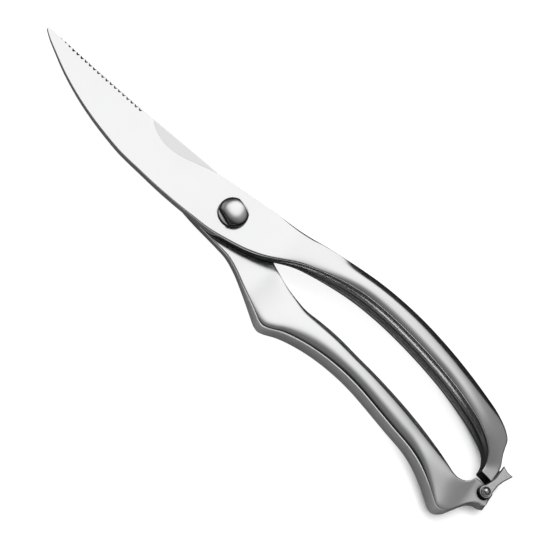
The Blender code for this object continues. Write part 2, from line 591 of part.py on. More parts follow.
def build_spring(mat):
    """Round wire coiled about the bolt, a straight leg at each end."""
    upper, along_upper = leg_frame(1)
    lower, along_lower = leg_frame(-1)
    path = [lower + along_lower * LEG]
    for i, (x, y) in enumerate(arc(SPRING_R, COIL_START, COIL_END, COIL_STEPS)):
        path.append(Vector((x, y, -COIL_RISE / 2 + COIL_RISE * i / COIL_STEPS)))
    path.append(upper + along_upper * LEG)

    loops = []
    for i, centre in enumerate(path):
        tangent = (path[min(i + 1, len(path) - 1)] - path[max(i - 1, 0)]).normalized()
        side = tangent.cross(Vector((0, 0, 1))).normalized()
        up = side.cross(tangent)
        angles = [2 * math.pi * j / WIRE_SEGMENTS for j in range(WIRE_SEGMENTS)]
        loops.append([centre + WIRE_R * (math.cos(a) * side + math.sin(a) * up) for a in angles])
    add_piece("torsion_spring", skinned(loops), mat, (0, 0, MATE_Z), sharp_angle=60)


def rivet_bore(centre=(0.0, 0.0)):
    reach = RIVET_BORE_REACH
    return cylinder(RIVET_R + CLEAR, -reach, reach, RIVET_BORE_SEGMENTS, centre)


def clip_outline():
    """The clip seen from above, along +X from its pin: eye, waist, flared end."""
    eye = arc(EYE_R, EYE_FROM, EYE_TO, EYE_STEPS)
    lower = [(x, -y) for x, y in CLIP_SIDE]
    return eye + lower + CLIP_END + CLIP_SIDE[::-1]


def build_clip(mat):
    """A strip bent into a U: two plates straddle the rear handle's lug, joined by
    a bridge that passes on the +Y side of the front handle's foot."""
    plate = placed(clip_outline(), LATCH_AT)
    outside = LATCH_IN + LATCH_GAUGE
    obj = add_piece("latch_clip", prisms(LATCH_IN, outside, plate), mat, (*LATCH_PIN, MATE_Z))
    shape(obj, "add_rear_plate", prisms(-outside, -LATCH_IN, plate), "UNION")

    near, far = LATCH_REACH, LATCH_REACH + BRIDGE_T
    half = BRIDGE_HALF
    bridge = placed([(near, -half), (far, -half), (far, half), (near, half)], LATCH_AT)
    height = LATCH_IN + BRIDGE_SINK
    shape(obj, "add_bridge", prisms(-height, height, bridge), "UNION")
    shape(obj, "cut_clip_bore", rivet_bore())


def build_rivet(mat):
    """A pin through the clip and the lug, with a domed head at each end."""
    seat = LATCH_IN + LATCH_GAUGE + RIVET_GAP
    rim = seat + RIVET_RIM
    half = [(RIVET_R, seat), (RIVET_HEAD_R, seat), (RIVET_HEAD_R, rim)]
    for i in range(1, RIVET_DOME_STEPS):
        angle = math.pi / 2 * i / RIVET_DOME_STEPS
        rise = (RIVET_HEAD_H - RIVET_RIM) * math.sin(angle)
        half.append((RIVET_HEAD_R * math.cos(angle), rim + rise))
    profile = [(radius, -z) for radius, z in reversed(half)] + half
    add_piece("latch_rivet", turned(profile, segments=24), mat, (*LATCH_PIN, MATE_Z))


def main():
    clear_scene()
    build_rear(metal("satin_steel_rear", colour=(0.60, 0.60, 0.61), roughness=0.28))
    build_front(metal("satin_steel", colour=(0.62, 0.62, 0.63), roughness=0.28))
    build_bolt(metal("polished_steel", colour=(0.70, 0.70, 0.71), roughness=0.10))
    build_washer(metal("washer_steel", colour=(0.55, 0.55, 0.56), roughness=0.35))
    build_nut(metal("plated_nut", colour=(0.58, 0.58, 0.59), roughness=0.22))
    build_spring(metal("spring_wire", colour=(0.46, 0.46, 0.48), roughness=0.25))
    build_clip(metal("stamped_steel", colour=(0.55, 0.55, 0.56), roughness=0.32))
    build_rivet(metal("rivet_steel", colour=(0.66, 0.66, 0.67), roughness=0.18))


main()
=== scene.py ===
# Poultry shears: two sprung halves on a pivot, held shut by a latch clip, with steel
# finishes, a pale floor and soft studio light.
#
# The shears lie flat along X, blade tips at -X and handles at +X.  The pivot axis is
# x = y = 0.  The halves meet at z = MATE: the front half lies above the rear one, its
# handle on the +Y side.  Lengths are in millimetres until a mesh is made; the floor,
# lights and camera are in metres.

import math

import bmesh
import bpy
import numpy as np
from mathutils import Matrix, Vector


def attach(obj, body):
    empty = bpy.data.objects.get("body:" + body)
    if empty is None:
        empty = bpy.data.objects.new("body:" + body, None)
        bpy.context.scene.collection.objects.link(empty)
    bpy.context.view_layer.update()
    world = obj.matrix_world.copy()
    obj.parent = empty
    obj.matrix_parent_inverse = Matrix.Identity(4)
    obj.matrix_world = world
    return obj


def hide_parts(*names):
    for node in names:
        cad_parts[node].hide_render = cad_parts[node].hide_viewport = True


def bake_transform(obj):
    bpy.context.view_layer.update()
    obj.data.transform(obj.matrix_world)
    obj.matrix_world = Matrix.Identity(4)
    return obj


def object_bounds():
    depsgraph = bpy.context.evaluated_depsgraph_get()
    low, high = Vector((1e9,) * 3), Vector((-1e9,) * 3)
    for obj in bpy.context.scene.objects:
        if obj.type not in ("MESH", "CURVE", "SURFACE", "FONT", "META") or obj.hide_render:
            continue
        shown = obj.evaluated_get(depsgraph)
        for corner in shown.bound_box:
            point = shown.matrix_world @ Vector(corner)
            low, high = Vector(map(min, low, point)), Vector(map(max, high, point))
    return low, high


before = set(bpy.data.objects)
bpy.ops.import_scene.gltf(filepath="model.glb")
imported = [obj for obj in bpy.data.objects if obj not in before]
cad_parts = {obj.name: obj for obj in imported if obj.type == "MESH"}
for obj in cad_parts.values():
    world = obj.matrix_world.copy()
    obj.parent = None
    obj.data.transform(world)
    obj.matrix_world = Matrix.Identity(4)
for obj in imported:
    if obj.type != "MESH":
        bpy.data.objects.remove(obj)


def bounds():
    return [[float(c) for c in corner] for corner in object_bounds()]


CAD_BOX = bounds()
MM = 0.001

# ---------------------------------------------------------------- dimensions
MATE = 6.9              # height of the mating plane
SLIP = 0.15             # stand-off of each mating face from that plane

# Heights of the halves, measured from the mating plane
HUB = 3.4               # faces around the pivot
WALL = 6.0              # inner wall of the front handle
SIDE = 4.9              # inner wall of the rear handle
RIM = 4.2               # outer walls of both handles
LUG = 4.1               # lug at the end of the rear handle
EDGE = 0.6              # cutting edges
DOME = 0.75             # crown of the front handle's faces
SWELL = 0.66            # crown of the rear handle's faces

BORE = 3.3              # pivot hole, and the inside of nut and washer
RECESS = 5.5            # spring recess around the bore in each half
RECESS_DEPTH = 1.9
RECESS_BREAK = 0.15     # broken corner of the recess floor

STOP_ANGLE = 200        # stop pin of the rear half, degrees about the pivot
STOP_ORBIT = 8.9
STOP_RADIUS = 1.3
STOP_SWING = 32         # travel of the pin in its groove, degrees

COIL = 4.4              # torsion spring
COIL_END = 1.2          # height of the coil's ends from the mating plane
COIL_ANGLE = math.radians(110)
COIL_SWEEP = 2 * math.pi * 2.5
LEG = 3.2
WIRE = 0.42

LATCH_PIN = (142.3, -8.8)
LATCH_HOLE = 1.5
LATCH_TURN = 83.3       # direction of the clip from its pin, degrees
CLIP_GAP = 4.5          # mating plane to each plate of the clip
CLIP_SHEET = 1.1

# Ribs of the two halves, from the -Y side (N) to the +Y side (P):
#   P x, P y, N x, N y, top z at P, at N, bottom z at P, at N,
#   crown top, crown bottom, handle section 0..1, hollow 0..1
FRONT = [
    (-101.8, 1.7, -101.7, 0.9, 1.5, 1.6, 0, 0, 0, 0, 0, 0),
    (-98.4, 2.2, -98.4, -1.1, 1.25, 1.8, 0, 0, 0, 0, 0, 0),
    (-92.0, 2.9, -93.0, -3.6, 0.95, 2.0, 0, 0, 0, 0, 0, 0),
    (-84.0, 3.5, -84.0, -7.4, 0.7, 2.3, 0, 0, 0, 0, 0, 0),
    (-75.5, 4.0, -74.0, -10.6, EDGE, 2.5, 0, 0, 0, 0, 0, 0),
    (-66.0, 4.7, -64.0, -12.9, EDGE, 2.8, 0, 0, 0, 0, 0, 0),
    (-56.0, 5.3, -54.0, -14.4, EDGE, 3.0, 0, 0, 0, 0, 0, 0),
    (-50.0, 5.8, -48.0, -15.0, EDGE, 3.1, 0, 0, 0, 0, 0, 0),
    (-47.8, 6.0, -46.0, -15.1, EDGE, 3.1, 0, 0, 0, 0, 0, 0),
    (-46.6, 4.9, -44.6, -15.1, 0.7, 3.1, 0, 0, 0, 0, 0, 0),
    (-44.4, 3.4, -42.0, -15.1, 0.9, 3.1, 0, 0, 0, 0, 0, 0),
    (-41.0, 2.2, -39.0, -15.0, 1.1, 3.2, 0, 0, 0, 0, 0, 0),
    (-36.5, 1.5, -35.0, -14.9, 1.4, 3.2, 0, 0, 0, 0, 0, 0),
    (-32.0, 2.0, -31.0, -14.8, 1.7, 3.2, 0, 0, 0, 0, 0, 0),
    (-26.0, 3.8, -25.5, -14.6, 2.2, 3.3, 0, 0, 0, 0, 0, 0),
    (-20.0, 6.2, -20.0, -14.2, 2.7, HUB, 0, 0, 0, 0, 0, 0),
    (-16.0, 7.6, -15.5, -13.8, 3.1, HUB, 0, 0, 0, 0, 0, 0),
    (-9.0, 9.1, -9.0, -13.0, HUB, HUB, 0, 0, 0, 0, 0, 0),
    (0.0, 11.0, -2.0, -12.1, HUB, HUB, 0, 0, 0, 0, 0, 0),
    (8.0, 12.7, 6.0, -9.8, HUB, HUB, 0, 0, 0, 0, 0, 0),
    (16.0, 14.1, 14.0, -7.2, 3.8, 3.9, 0, 0, 0.05, 0, 0, 0),
    (23.0, 15.4, 20.0, -4.3, 4.3, 4.5, 0, 0.05, 0.1, 0, 0.1, 0),
    (29.0, 16.6, 25.3, -0.6, 4.9, 4.9, 0, 0.4, 0.35, 0, 0.3, 0.35),
    (36.0, 18.1, 31.6, 4.0, 5.35, 5.3, -1.6, -0.6, 0.5, 0.2, 0.3, 0.7),
    (42.0, 19.7, 37.6, 7.2, 5.1, 5.7, -2.7, -2.2, 0.6, 0.5, 0.5, 0.9),
    (49.0, 21.7, 46.2, 10.9, 4.55, WALL, -3.6, -4.2, 0.7, DOME, 0.8, 1),
    (58.0, 23.7, 56.0, 14.0, RIM, WALL, -RIM, -5.7, DOME, DOME, 1, 1),
    (70.0, 25.1, 70.0, 15.7, RIM, WALL, -RIM, -WALL, DOME, DOME, 1, 1),
    (80.0, 25.5, 80.0, 15.9, RIM, WALL, -RIM, -WALL, DOME, DOME, 1, 1),
    (93.0, 25.0, 92.0, 15.5, RIM, WALL, -RIM, -WALL, DOME, DOME, 1, 1),
    (106.2, 23.5, 104.0, 14.4, 4.3, WALL, -4.3, -WALL, DOME, DOME, 1, 1),
    (118.3, 21.2, 115.0, 12.5, 4.7, WALL, -4.7, -WALL, 0.6, 0.6, 1, 0.9),
    (127.4, 19.1, 123.0, 10.5, 4.7, 5.7, -4.7, -5.7, 0.5, 0.5, 0.8, 0.7),
    (132.9, 16.8, 128.0, 8.5, 4.5, 5.2, -4.5, -5.2, 0.4, 0.4, 0.5, 0.4),
    (136.1, 14.2, 131.2, 6.8, 4.2, 4.6, -4.2, -4.6, 0.3, 0.3, 0.3, 0.2),
    (137.3, 11.4, 133.4, 5.0, 3.9, 4.1, -3.9, -4.1, 0.2, 0.2, 0.2, 0),
    (138.5, 8.8, 134.7, 3.1, 3.6, 3.6, -3.6, -3.6, 0.1, 0.1, 0.1, 0),
    (140.0, 6.4, 135.5, 1.6, 3.2, 3.2, -3.2, -3.2, 0, 0, 0, 0),
    (141.1, 4.5, 135.9, 0.4, 3, 3, -3, -3, 0, 0, 0, 0),
    (141.4, 3.1, 136.1, -0.4, 3, 3, -3, -3, 0, 0, 0, 0),
    (143.4, 2.7, 136.2, -1.0, 3, 3, -3, -3, 0, 0, 0, 0),
    (144.0, 2.1, 136.3, -1.5, 3, 3, -3, -3, 0, 0, 0, 0),
    (144.0, -2.2, 136.5, -2.4, 3, 3, -3, -3, 0, 0, 0, 0),
    (143.6, -2.7, 137.0, -2.8, 3, 3, -3, -3, 0, 0, 0, 0),
]
EDGE_RIBS = 9           # ribs of FRONT whose P side is the cutting edge
REAR = [
    (-101.0, 1.5, -101.2, 0.9, 0, 0, -0.7, -0.5, 0, 0, 0, 0),
    (-98.0, 2.3, -98.0, -0.2, 0, 0, -0.9, -EDGE, 0, 0, 0, 0),
    (-92.0, 3.1, -92.0, -1.9, 0, 0, -1.4, -EDGE, 0, 0, 0, 0),
    (-84.0, 3.8, -84.0, -3.9, 0, 0, -1.9, -EDGE, 0, 0, 0, 0),
    (-75.0, 4.4, -75.0, -5.7, 0, 0, -2.4, -EDGE, 0, 0, 0, 0),
    (-65.0, 5.1, -65.0, -7.2, 0, 0, -2.8, -EDGE, 0, 0, 0, 0),
    (-55.0, 5.8, -55.0, -8.4, 0, 0, -3.0, -EDGE, 0, 0, 0, 0),
    (-45.0, 6.8, -45.0, -9.3, 0, 0, -3.1, -0.7, 0, 0, 0, 0),
    (-35.0, 7.8, -35.0, -10.0, 0, 0, -3.2, -1.1, 0, 0, 0, 0),
    (-25.0, 8.8, -25.0, -10.9, 0, 0, -3.3, -2.0, 0, 0, 0, 0),
    (-15.0, 9.6, -15.0, -11.9, 0, 0, -HUB, -3.1, 0, 0, 0, 0),
    (-6.0, 10.1, -7.0, -12.3, 0, 0, -HUB, -HUB, 0, 0, 0, 0),
    (2.0, 10.2, 0.0, -12.4, 0, 0, -HUB, -HUB, 0, 0, 0, 0),
    (8.0, 9.4, 5.0, -12.5, 0, 0, -HUB, -HUB, 0, 0, 0, 0),
    (13.0, 7.4, 9.6, -12.6, 0, 0, -3.6, -3.6, 0, 0.1, 0, 0),
    (17.5, 4.2, 13.1, -13.4, 0, 0, -3.9, -3.8, 0, 0.2, 0, 0),
    (21.0, 1.4, 17.2, -14.8, 0, 0, -4.2, -3.9, 0, 0.3, 0, 0),
    (24.2, -0.9, 22.5, -17.3, 0, 0.1, -4.4, -4.0, 0, 0.4, 0, 0),
    (28.0, -2.5, 27.0, -19.5, 0.75, 1.0, -4.6, -4.1, 0.2, 0.5, 0, 0),
    (33.4, -4.7, 32.5, -22.4, 1.9, 2.1, -4.8, -RIM, 0.45, 0.6, 0.1, 0.2),
    (38.0, -5.9, 36.8, -24.5, 2.9, 2.8, -4.9, -RIM, 0.6, SWELL, 0.25, 0.5),
    (40.0, -6.3, 38.8, -24.8, 3.3, 3.0, -4.9, -RIM, 0.6, SWELL, 0.3, 0.6),
    (42.0, -6.6, 41.0, -23.9, 3.6, 3.2, -4.9, -RIM, SWELL, SWELL, 0.4, 0.7),
    (46.0, -7.0, 45.0, -21.4, 4.2, 3.6, -4.9, -RIM, SWELL, SWELL, 0.6, 0.9),
    (52.6, -6.1, 52.0, -18.6, 4.7, 4.0, -4.9, -RIM, SWELL, SWELL, 0.9, 1),
    (62.0, -5.3, 62.0, -16.1, SIDE, RIM, -SIDE, -RIM, SWELL, SWELL, 1, 1),
    (72.0, -5.4, 72.0, -15.0, SIDE, RIM, -SIDE, -RIM, SWELL, SWELL, 1, 1),
    (82.0, -5.4, 81.0, -15.0, SIDE, RIM, -SIDE, -RIM, SWELL, SWELL, 1, 1),
    (92.0, -5.8, 91.0, -15.9, SIDE, RIM, -SIDE, -RIM, SWELL, SWELL, 1, 1),
    (102.0, -6.6, 101.0, -16.9, SIDE, RIM, -SIDE, -RIM, SWELL, SWELL, 1, 1),
    (112.0, -7.9, 110.0, -17.7, SIDE, RIM, -SIDE, -RIM, SWELL, SWELL, 1, 1),
    (119.0, -9.4, 115.5, -19.0, 5.0, RIM, -5.0, -RIM, SWELL, SWELL, 0.8, 0.8),
    (125.6, -11.2, 121.0, -21.1, 5.1, RIM, -5.1, -RIM, 0.5, 0.5, 0.5, 0.4),
    (129.0, -12.1, 126.0, -23.6, 5.1, RIM, -5.1, -RIM, 0.35, 0.35, 0.3, 0),
    (131.5, -12.0, 129.9, -25.9, 5.0, RIM, -5.0, -RIM, 0.25, 0.25, 0.1, 0),
    (133.4, -11.2, 132.2, -27.0, 4.8, RIM, -4.8, -RIM, 0.2, 0.2, 0, 0),
    (134.8, -9.9, 134.5, -26.4, 4.6, RIM, -4.6, -RIM, 0.15, 0.15, 0, 0),
    (135.9, -7.9, 136.6, -24.3, 4.3, RIM, -4.3, -RIM, 0.1, 0.1, 0, 0),
    (136.5, -6.5, 138.2, -20.9, LUG, LUG, -LUG, -LUG, 0, 0, 0, 0),
    (139.0, -6.2, 139.9, -17.3, LUG, LUG, -LUG, -LUG, 0, 0, 0, 0),
    (141.5, -6.2, 141.9, -14.6, LUG, LUG, -LUG, -LUG, 0, 0, 0, 0),
    (143.6, -6.3, 143.9, -13.3, LUG, LUG, -LUG, -LUG, 0, 0, 0, 0),
    (145.0, -6.5, 145.8, -12.9, LUG, LUG, -LUG, -LUG, 0, 0, 0, 0),
    (145.9, -7.6, 146.3, -11.6, LUG, LUG, -LUG, -LUG, 0, 0, 0, 0),
]

# Corner radii along x: (x, top P, top N, bottom P, bottom N)
FRONT_CORNERS = [
    (-102, 0.06, 0.16, 0.04, 0.12), (-50, 0.06, 0.22, 0.04, 0.15),
    (-20, 0.15, 0.4, 0.1, 0.2), (12, 0.2, 0.9, 0.1, 0.3),
    (17, 1.2, 1.1, 0.3, 0.4), (22, 1.9, 1.1, 0.3, 0.4),
    (27, 1.7, 1.1, 0.3, 0.4), (31, 0.8, 1.1, 0.3, 0.4),
    (36, 0.4, 0.8, 0.3, 0.4), (39, 0.3, 0.55, 0.3, 0.4),
    (46, 0.5, 0.4, 0.5, 0.4), (56, 0.6, 0.35, 0.6, 0.35),
    (120, 0.6, 0.35, 0.6, 0.35), (128, 1.0, 0.35, 0.6, 0.35),
    (138, 1.0, 0.35, 0.4, 0.35), (144, 0.6, 0.3, 0.35, 0.3),
]
REAR_CORNERS = [
    (-102, 0.06, 0.05, 0.16, 0.05), (-50, 0.06, 0.05, 0.25, 0.05),
    (-20, 0.1, 0.1, 0.4, 0.2), (10, 0.1, 0.7, 0.6, 0.4),
    (25, 0.25, 0.9, 0.8, 0.4), (45, 0.5, 0.8, 0.6, 0.4),
    (60, 0.5, 0.5, 0.5, 0.4), (118, 0.5, 0.45, 0.5, 0.4),
    (126, 1.1, 0.45, 0.5, 0.4), (138, 1.1, 0.4, 0.4, 0.5),
    (140.5, 0.9, 0.4, 0.4, 3.3), (146, 0.6, 0.35, 0.35, 3.3),
]

# Steps of a section's faces, walls and corners
N_FACE, N_WALL, N_ARC = 27, 23, 6
# Places on a section's loop where the UV across the lay starts afresh: the start of
# each wall and of the run that follows it
WALL_STARTS = (
    N_FACE + N_ARC,
    N_FACE + N_ARC + N_WALL,
    2 * N_FACE + 3 * N_ARC + N_WALL,
    2 * N_FACE + 3 * N_ARC + 2 * N_WALL + 1,
)
FLUTE = 1.35            # depth of the two flutes of a handle's inner wall
ROLL, LIP = 2.6, 0.4    # fall of the rear handle's faces to inner and outer edge, in crowns
END_ROUND = 0.3         # rounding of the handle end of each half


# ------------------------------------------------------------------- meshing
def mesh_object(name, bm):
    """A linked object from a bmesh, which is freed."""
    mesh = bpy.data.meshes.new(name)
    bm.to_mesh(mesh)
    bm.free()
    ob = bpy.data.objects.new(name, mesh)
    bpy.context.scene.collection.objects.link(ob)
    return ob


def new_object(name, bm, sharp=32, weighted=True):
    """A piece from a bmesh in millimetres; sharp is its crease angle in degrees."""
    bmesh.ops.scale(bm, vec=(MM, MM, MM), verts=bm.verts)
    bmesh.ops.recalc_face_normals(bm, faces=bm.faces)
    ob = mesh_object(name, bm)
    ob["sharp"] = float(sharp)
    ob["weighted"] = bool(weighted)
    return ob


def bake_modifiers(ob):
    dg = bpy.context.evaluated_depsgraph_get()
    mesh = bpy.data.meshes.new_from_object(ob.evaluated_get(dg))
    ob.modifiers.clear()
    old = ob.data
    ob.data = mesh
    bpy.data.meshes.remove(old)


def cut(ob, bm, operation="DIFFERENCE"):
    """Boolean with a temporary tool, applied at once."""
    tool = new_object("tool", bm)
    mod = ob.modifiers.new("bool", "BOOLEAN")
    mod.object = tool
    mod.operation = operation
    mod.solver = "EXACT"
    bake_modifiers(ob)
    data = tool.data
    bpy.data.objects.remove(tool)
    bpy.data.meshes.remove(data)


def dress(ob, mat):
    """One material, and smooth shading with sharp creases and flats kept."""
    mesh = ob.data
    mesh.materials.clear()
    mesh.materials.append(mat)
    for poly in mesh.polygons:
        poly.material_index = 0
    mesh.shade_smooth()
    mesh.set_sharp_from_angle(angle=math.radians(ob["sharp"]))
    if ob["weighted"]:
        mod = ob.modifiers.new("weighted_normal", "WEIGHTED_NORMAL")
        mod.keep_sharp = True
        mod.weight = 80
        mod.mode = "FACE_AREA"
        name = mesh.name
        bake_modifiers(ob)
        ob.data.name = name


def skin(loops, bm=None, closed=False, uv=None):
    """Quads between equal loops, capped, or joined last to first when closed.

    uv holds the two (u, v) ends of every side of every loop."""
    if bm is None:
        bm = bmesh.new()
    rows = [[bm.verts.new(p) for p in loop] for loop in loops]
    layer = bm.loops.layers.uv.verify() if uv else None
    following = rows[1:] + rows[:1] if closed else rows[1:]
    for k, (a, b) in enumerate(zip(rows, following)):
        for i in range(len(a)):
            j = (i + 1) % len(a)
            face = bm.faces.new((a[i], a[j], b[j], b[i]))
            if layer:
                ends = (*uv[k][i], *reversed(uv[k + 1][i]))
                for corner, co in zip(face.loops, ends):
                    corner[layer].uv = co
    if not closed:
        for cap in (list(reversed(rows[0])), rows[-1]):
            face = bm.faces.new(cap)
            if layer:
                for corner in face.loops:
                    corner[layer].uv = (corner.vert.co.x, corner.vert.co.y)
    return bm


def ring(radius, z, segments, at=(0.0, 0.0), turn=0.0):
    angles = [turn + 2 * math.pi * i / segments for i in range(segments)]
    return [(at[0] + radius * math.cos(a), at[1] + radius * math.sin(a), z) for a in angles]


def turned(profile, segments, at=(0.0, 0.0), closed=False):
    """Solid of revolution of (radius, z) points about a vertical axis."""
    return skin([ring(r, z, segments, at) for r, z in profile], closed=closed)


def prism(outline, z0, z1):
    return skin([[(x, y, z) for x, y in outline] for z in (z0, z1)])


def arc(x, y, radius, start, end, steps):
    """Points of a circular arc, angles in degrees."""
    angles = [math.radians(start + (end - start) * i / steps) for i in range(steps + 1)]
    return [(x + radius * math.cos(a), y + radius * math.sin(a)) for a in angles]


# ------------------------------------------------------- lofts of the halves
def smooth_ribs(ribs, soft):
    """Fine rows along a cubic through the ribs, averaged, and their places.

    soft(x) gives the averaging widths of the outline and of the heights."""
    ribs = np.array(ribs, dtype=float)
    mid = (ribs[:, 0:2] + ribs[:, 2:4]) / 2
    step = np.maximum(np.linalg.norm(np.diff(mid, axis=0), axis=1), 0.6)
    slope = np.diff(ribs, axis=0) / step[:, None]
    tangent = np.empty_like(ribs)
    tangent[0], tangent[-1] = slope[0], slope[-1]
    for i in range(1, len(ribs) - 1):
        a, b = step[i - 1], step[i]
        tangent[i] = (slope[i - 1] * b + slope[i] * a) / (a + b)

    fine, place, length = [], [], 0.0
    for i, h in enumerate(step):
        count = max(3, int(round(h / 0.2)))
        for k in range(count):
            u = k / count
            h00, h10 = 2 * u**3 - 3 * u**2 + 1, u**3 - 2 * u**2 + u
            h01, h11 = -2 * u**3 + 3 * u**2, u**3 - u**2
            start = h00 * ribs[i] + h10 * h * tangent[i]
            fine.append(start + h01 * ribs[i + 1] + h11 * h * tangent[i + 1])
            place.append(length + h * u)
        length += h
    fine.append(ribs[-1])
    place.append(length)
    fine, place = np.array(fine), np.array(place)

    gap = np.gradient(place)
    out = fine.copy()
    for i in range(1, len(fine) - 1):
        x = (fine[i, 0] + fine[i, 2]) / 2
        for sigma, cols in zip(soft(x), (slice(0, 4), slice(4, 12))):
            # narrower towards the two ends, which stay put
            sigma = min(sigma, 0.45 * min(place[i], length - place[i]))
            if sigma < 0.15:
                continue
            weight = np.exp(-0.5 * ((place - place[i]) / sigma) ** 2) * gap
            out[i, cols] = (weight[:, None] * fine[:, cols]).sum(0) / weight.sum()
    return fine, out, place


def dense_rows(ribs, pitch, soft):
    """Smoothed rows along a half, pitch(x) apart, and their marks along its run."""
    fine, smooth, place = smooth_ribs(ribs, soft)
    marks, at = [], 0.0
    while at < place[-1]:
        marks.append(at)
        j = min(np.searchsorted(place, at), len(fine) - 1)
        at += pitch((fine[j, 0] + fine[j, 2]) / 2)
    marks.append(place[-1])
    rows = [np.array([np.interp(m, place, smooth[:, c]) for c in range(12)]) for m in marks]
    return rows, marks


def half_section(row, side, corners):
    """One closed loop with rounded corners and a fluted inner wall.

    side is +1 for the front half, whose outer wall is P, and -1 for the rear.
    t runs across the section from 0 at N to 1 at P."""
    end_p, end_n = row[0:2], row[2:4]
    top_p, top_n, bottom_p, bottom_n, crown_top, crown_bottom, handle, hollow = row[4:12]
    top = (top_p, top_n, crown_top)
    bottom = (bottom_p, bottom_n, -crown_bottom)
    width = float(np.linalg.norm(end_p - end_n))
    thin = min(top_p - bottom_p, top_n - bottom_n)
    x = (end_p[0] + end_n[0]) / 2
    table = np.array(corners, dtype=float)
    wanted = [float(np.interp(x, table[:, 0], table[:, c])) for c in range(1, 5)]
    # the bottom N corner may take more of the width than the others
    radii = [min(r, 0.42 * thin, share * width)
             for r, share in zip(wanted, (0.3, 0.3, 0.3, 0.45))]

    def height(t, zp, zn, crown):
        if side > 0:
            w = (1 - handle) * t + handle * t**3
            return zn + (zp - zn) * w + crown * 4 * t * (1 - t)
        w = 1 - abs(2 * t - 1) ** (2 + 6 * (1 - handle))
        fall = handle * (ROLL * t**4 + LIP * (1 - t) ** 10)
        return zn + (zp - zn) * t + crown * (w - fall)

    def point(t, z):
        across = end_n + (end_p - end_n) * t
        return (across[0], across[1], z)

    def corner(end, r, face, up):
        """(t, z) from the face to the wall; up is +1 on the top, -1 below."""
        inside = -1 if end == 1.0 else 1
        t0 = end + inside * r / width
        z0 = height(t0, *face)
        slope = (height(t0 + 1e-4, *face) - height(t0 - 1e-4, *face)) / 2e-4
        z_corner = z0 + slope * (end - t0)
        z1 = z_corner - up * r
        pts = []
        for i in range(N_ARC + 1):
            u = i / N_ARC
            a, b, c = (1 - u) ** 2, 2 * u * (1 - u), u * u
            pts.append((a * t0 + (b + c) * end, a * z0 + b * z_corner + c * z1))
        return pts

    def face_run(start, end, face):
        ts = [start + (end - start) * i / N_FACE for i in range(1, N_FACE)]
        return [point(t, height(t, *face)) for t in ts]

    def wall(t, z0, z1):
        is_inner = (t == 0.0) == (side > 0)
        inward = 1.0 if t == 0.0 else -1.0
        out = []
        for i in range(1, N_WALL + 1):
            v = i / (N_WALL + 1)
            flute = FLUTE * hollow * math.sin(2 * math.pi * v) ** 2 if is_inner else 0.0
            out.append(point(t + inward * flute / width, z0 + (z1 - z0) * v))
        return out

    tp = corner(1.0, radii[0], top, 1)
    tn = corner(0.0, radii[1], top, 1)
    bp = corner(1.0, radii[2], bottom, -1)
    bn = corner(0.0, radii[3], bottom, -1)
    loop = face_run(tn[0][0], tp[0][0], top)
    loop += [point(*q) for q in tp]
    loop += wall(1.0, tp[-1][1], bp[-1][1])
    loop += [point(*q) for q in reversed(bp)]
    loop += face_run(bp[0][0], bn[0][0], bottom)
    loop += [point(*q) for q in bn]
    loop += wall(0.0, bn[-1][1], tn[-1][1])
    loop += [point(*q) for q in reversed(tn)]
    return loop


def round_end(loops, marks, last_row):
    """Replace the last loops by ones that round the end off over END_ROUND."""
    last = loops[-1]
    centre = last.mean(0)
    along = centre - loops[-2].mean(0)
    along /= np.linalg.norm(along)
    across = last_row[0:2] - last_row[2:4]
    width = np.linalg.norm(across)
    across = np.append(across / width, 0.0)
    tall = last[:, 2].max() - last[:, 2].min()
    start = marks[-1] - END_ROUND
    kept = [(loop, m) for loop, m in zip(loops, marks) if m <= start]
    from_centre = last - centre
    for degrees in (0, 22, 45, 68, 90):
        a = math.radians(degrees)
        inset = END_ROUND * (1 - math.cos(a))
        loop = (
            centre
            + np.outer(from_centre @ across * (1 - 2 * inset / width), across)
            + np.outer(from_centre @ along, along)
            + np.outer(from_centre[:, 2] * (1 - 2 * inset / tall), (0, 0, 1))
            - along * END_ROUND * (1 - math.sin(a))
        )
        kept.append((loop, start + END_ROUND * math.sin(a)))
    return kept


def lay_uv(loop, mark):
    """UV ends of a loop's sides: u along the half, v across the lay, in mm."""
    v = 0.0
    run = []
    for i, step in enumerate(np.linalg.norm(np.roll(loop, -1, axis=0) - loop, axis=1)):
        if i in WALL_STARTS:
            v = 40.0 * (1 + WALL_STARTS.index(i))
        run.append(((mark, v), (mark, v + step)))
        v += step
    return run


def half_mesh(name, ribs, corners, side, pitch, soft):
    rows, marks = dense_rows(ribs, pitch, soft)
    for row in rows:
        # the mating face stands off the mating plane, easing out of it
        for c in (6, 7) if side > 0 else (4, 5):
            row[c] += side * SLIP * max(0.0, 1 - abs(row[c]) / 1.6) ** 2
    loops = [np.array(half_section(row, side, corners)) for row in rows]
    kept = round_end(loops, marks, rows[-1])
    uv = [lay_uv(loop, mark) for loop, mark in kept]
    placed = [[tuple(q + (0, 0, MATE)) for q in loop] for loop, _ in kept]
    return new_object(name, skin(placed, uv=uv))


def pitch_front(x):
    return 0.3 if -49 < x < -40 or x > 132 or x < -96 else 0.6


def pitch_rear(x):
    return 0.35 if 34 < x < 44 or x > 128 or x < -96 else 0.6


def soft_front(x):
    if x < -96 or -49.5 < x < -44.5:
        return 0.0, 0.0
    if x < -30:
        return 1.2, 1.2
    if x > 130:
        return 0.35, 1.6
    if x > 120:
        return 0.8, 2.0
    return 1.6, 2.0


def soft_rear(x):
    if x < -96:
        return 0.0, 0.0
    outline = np.interp(x, (30, 35, 43, 48, 112, 120, 130), (1.6, 0.7, 0.7, 1.6, 1.6, 1.0, 0.5))
    heights = np.interp(x, (8, 20, 34, 46), (2.0, 3.6, 3.6, 2.2))
    return float(outline), float(heights)


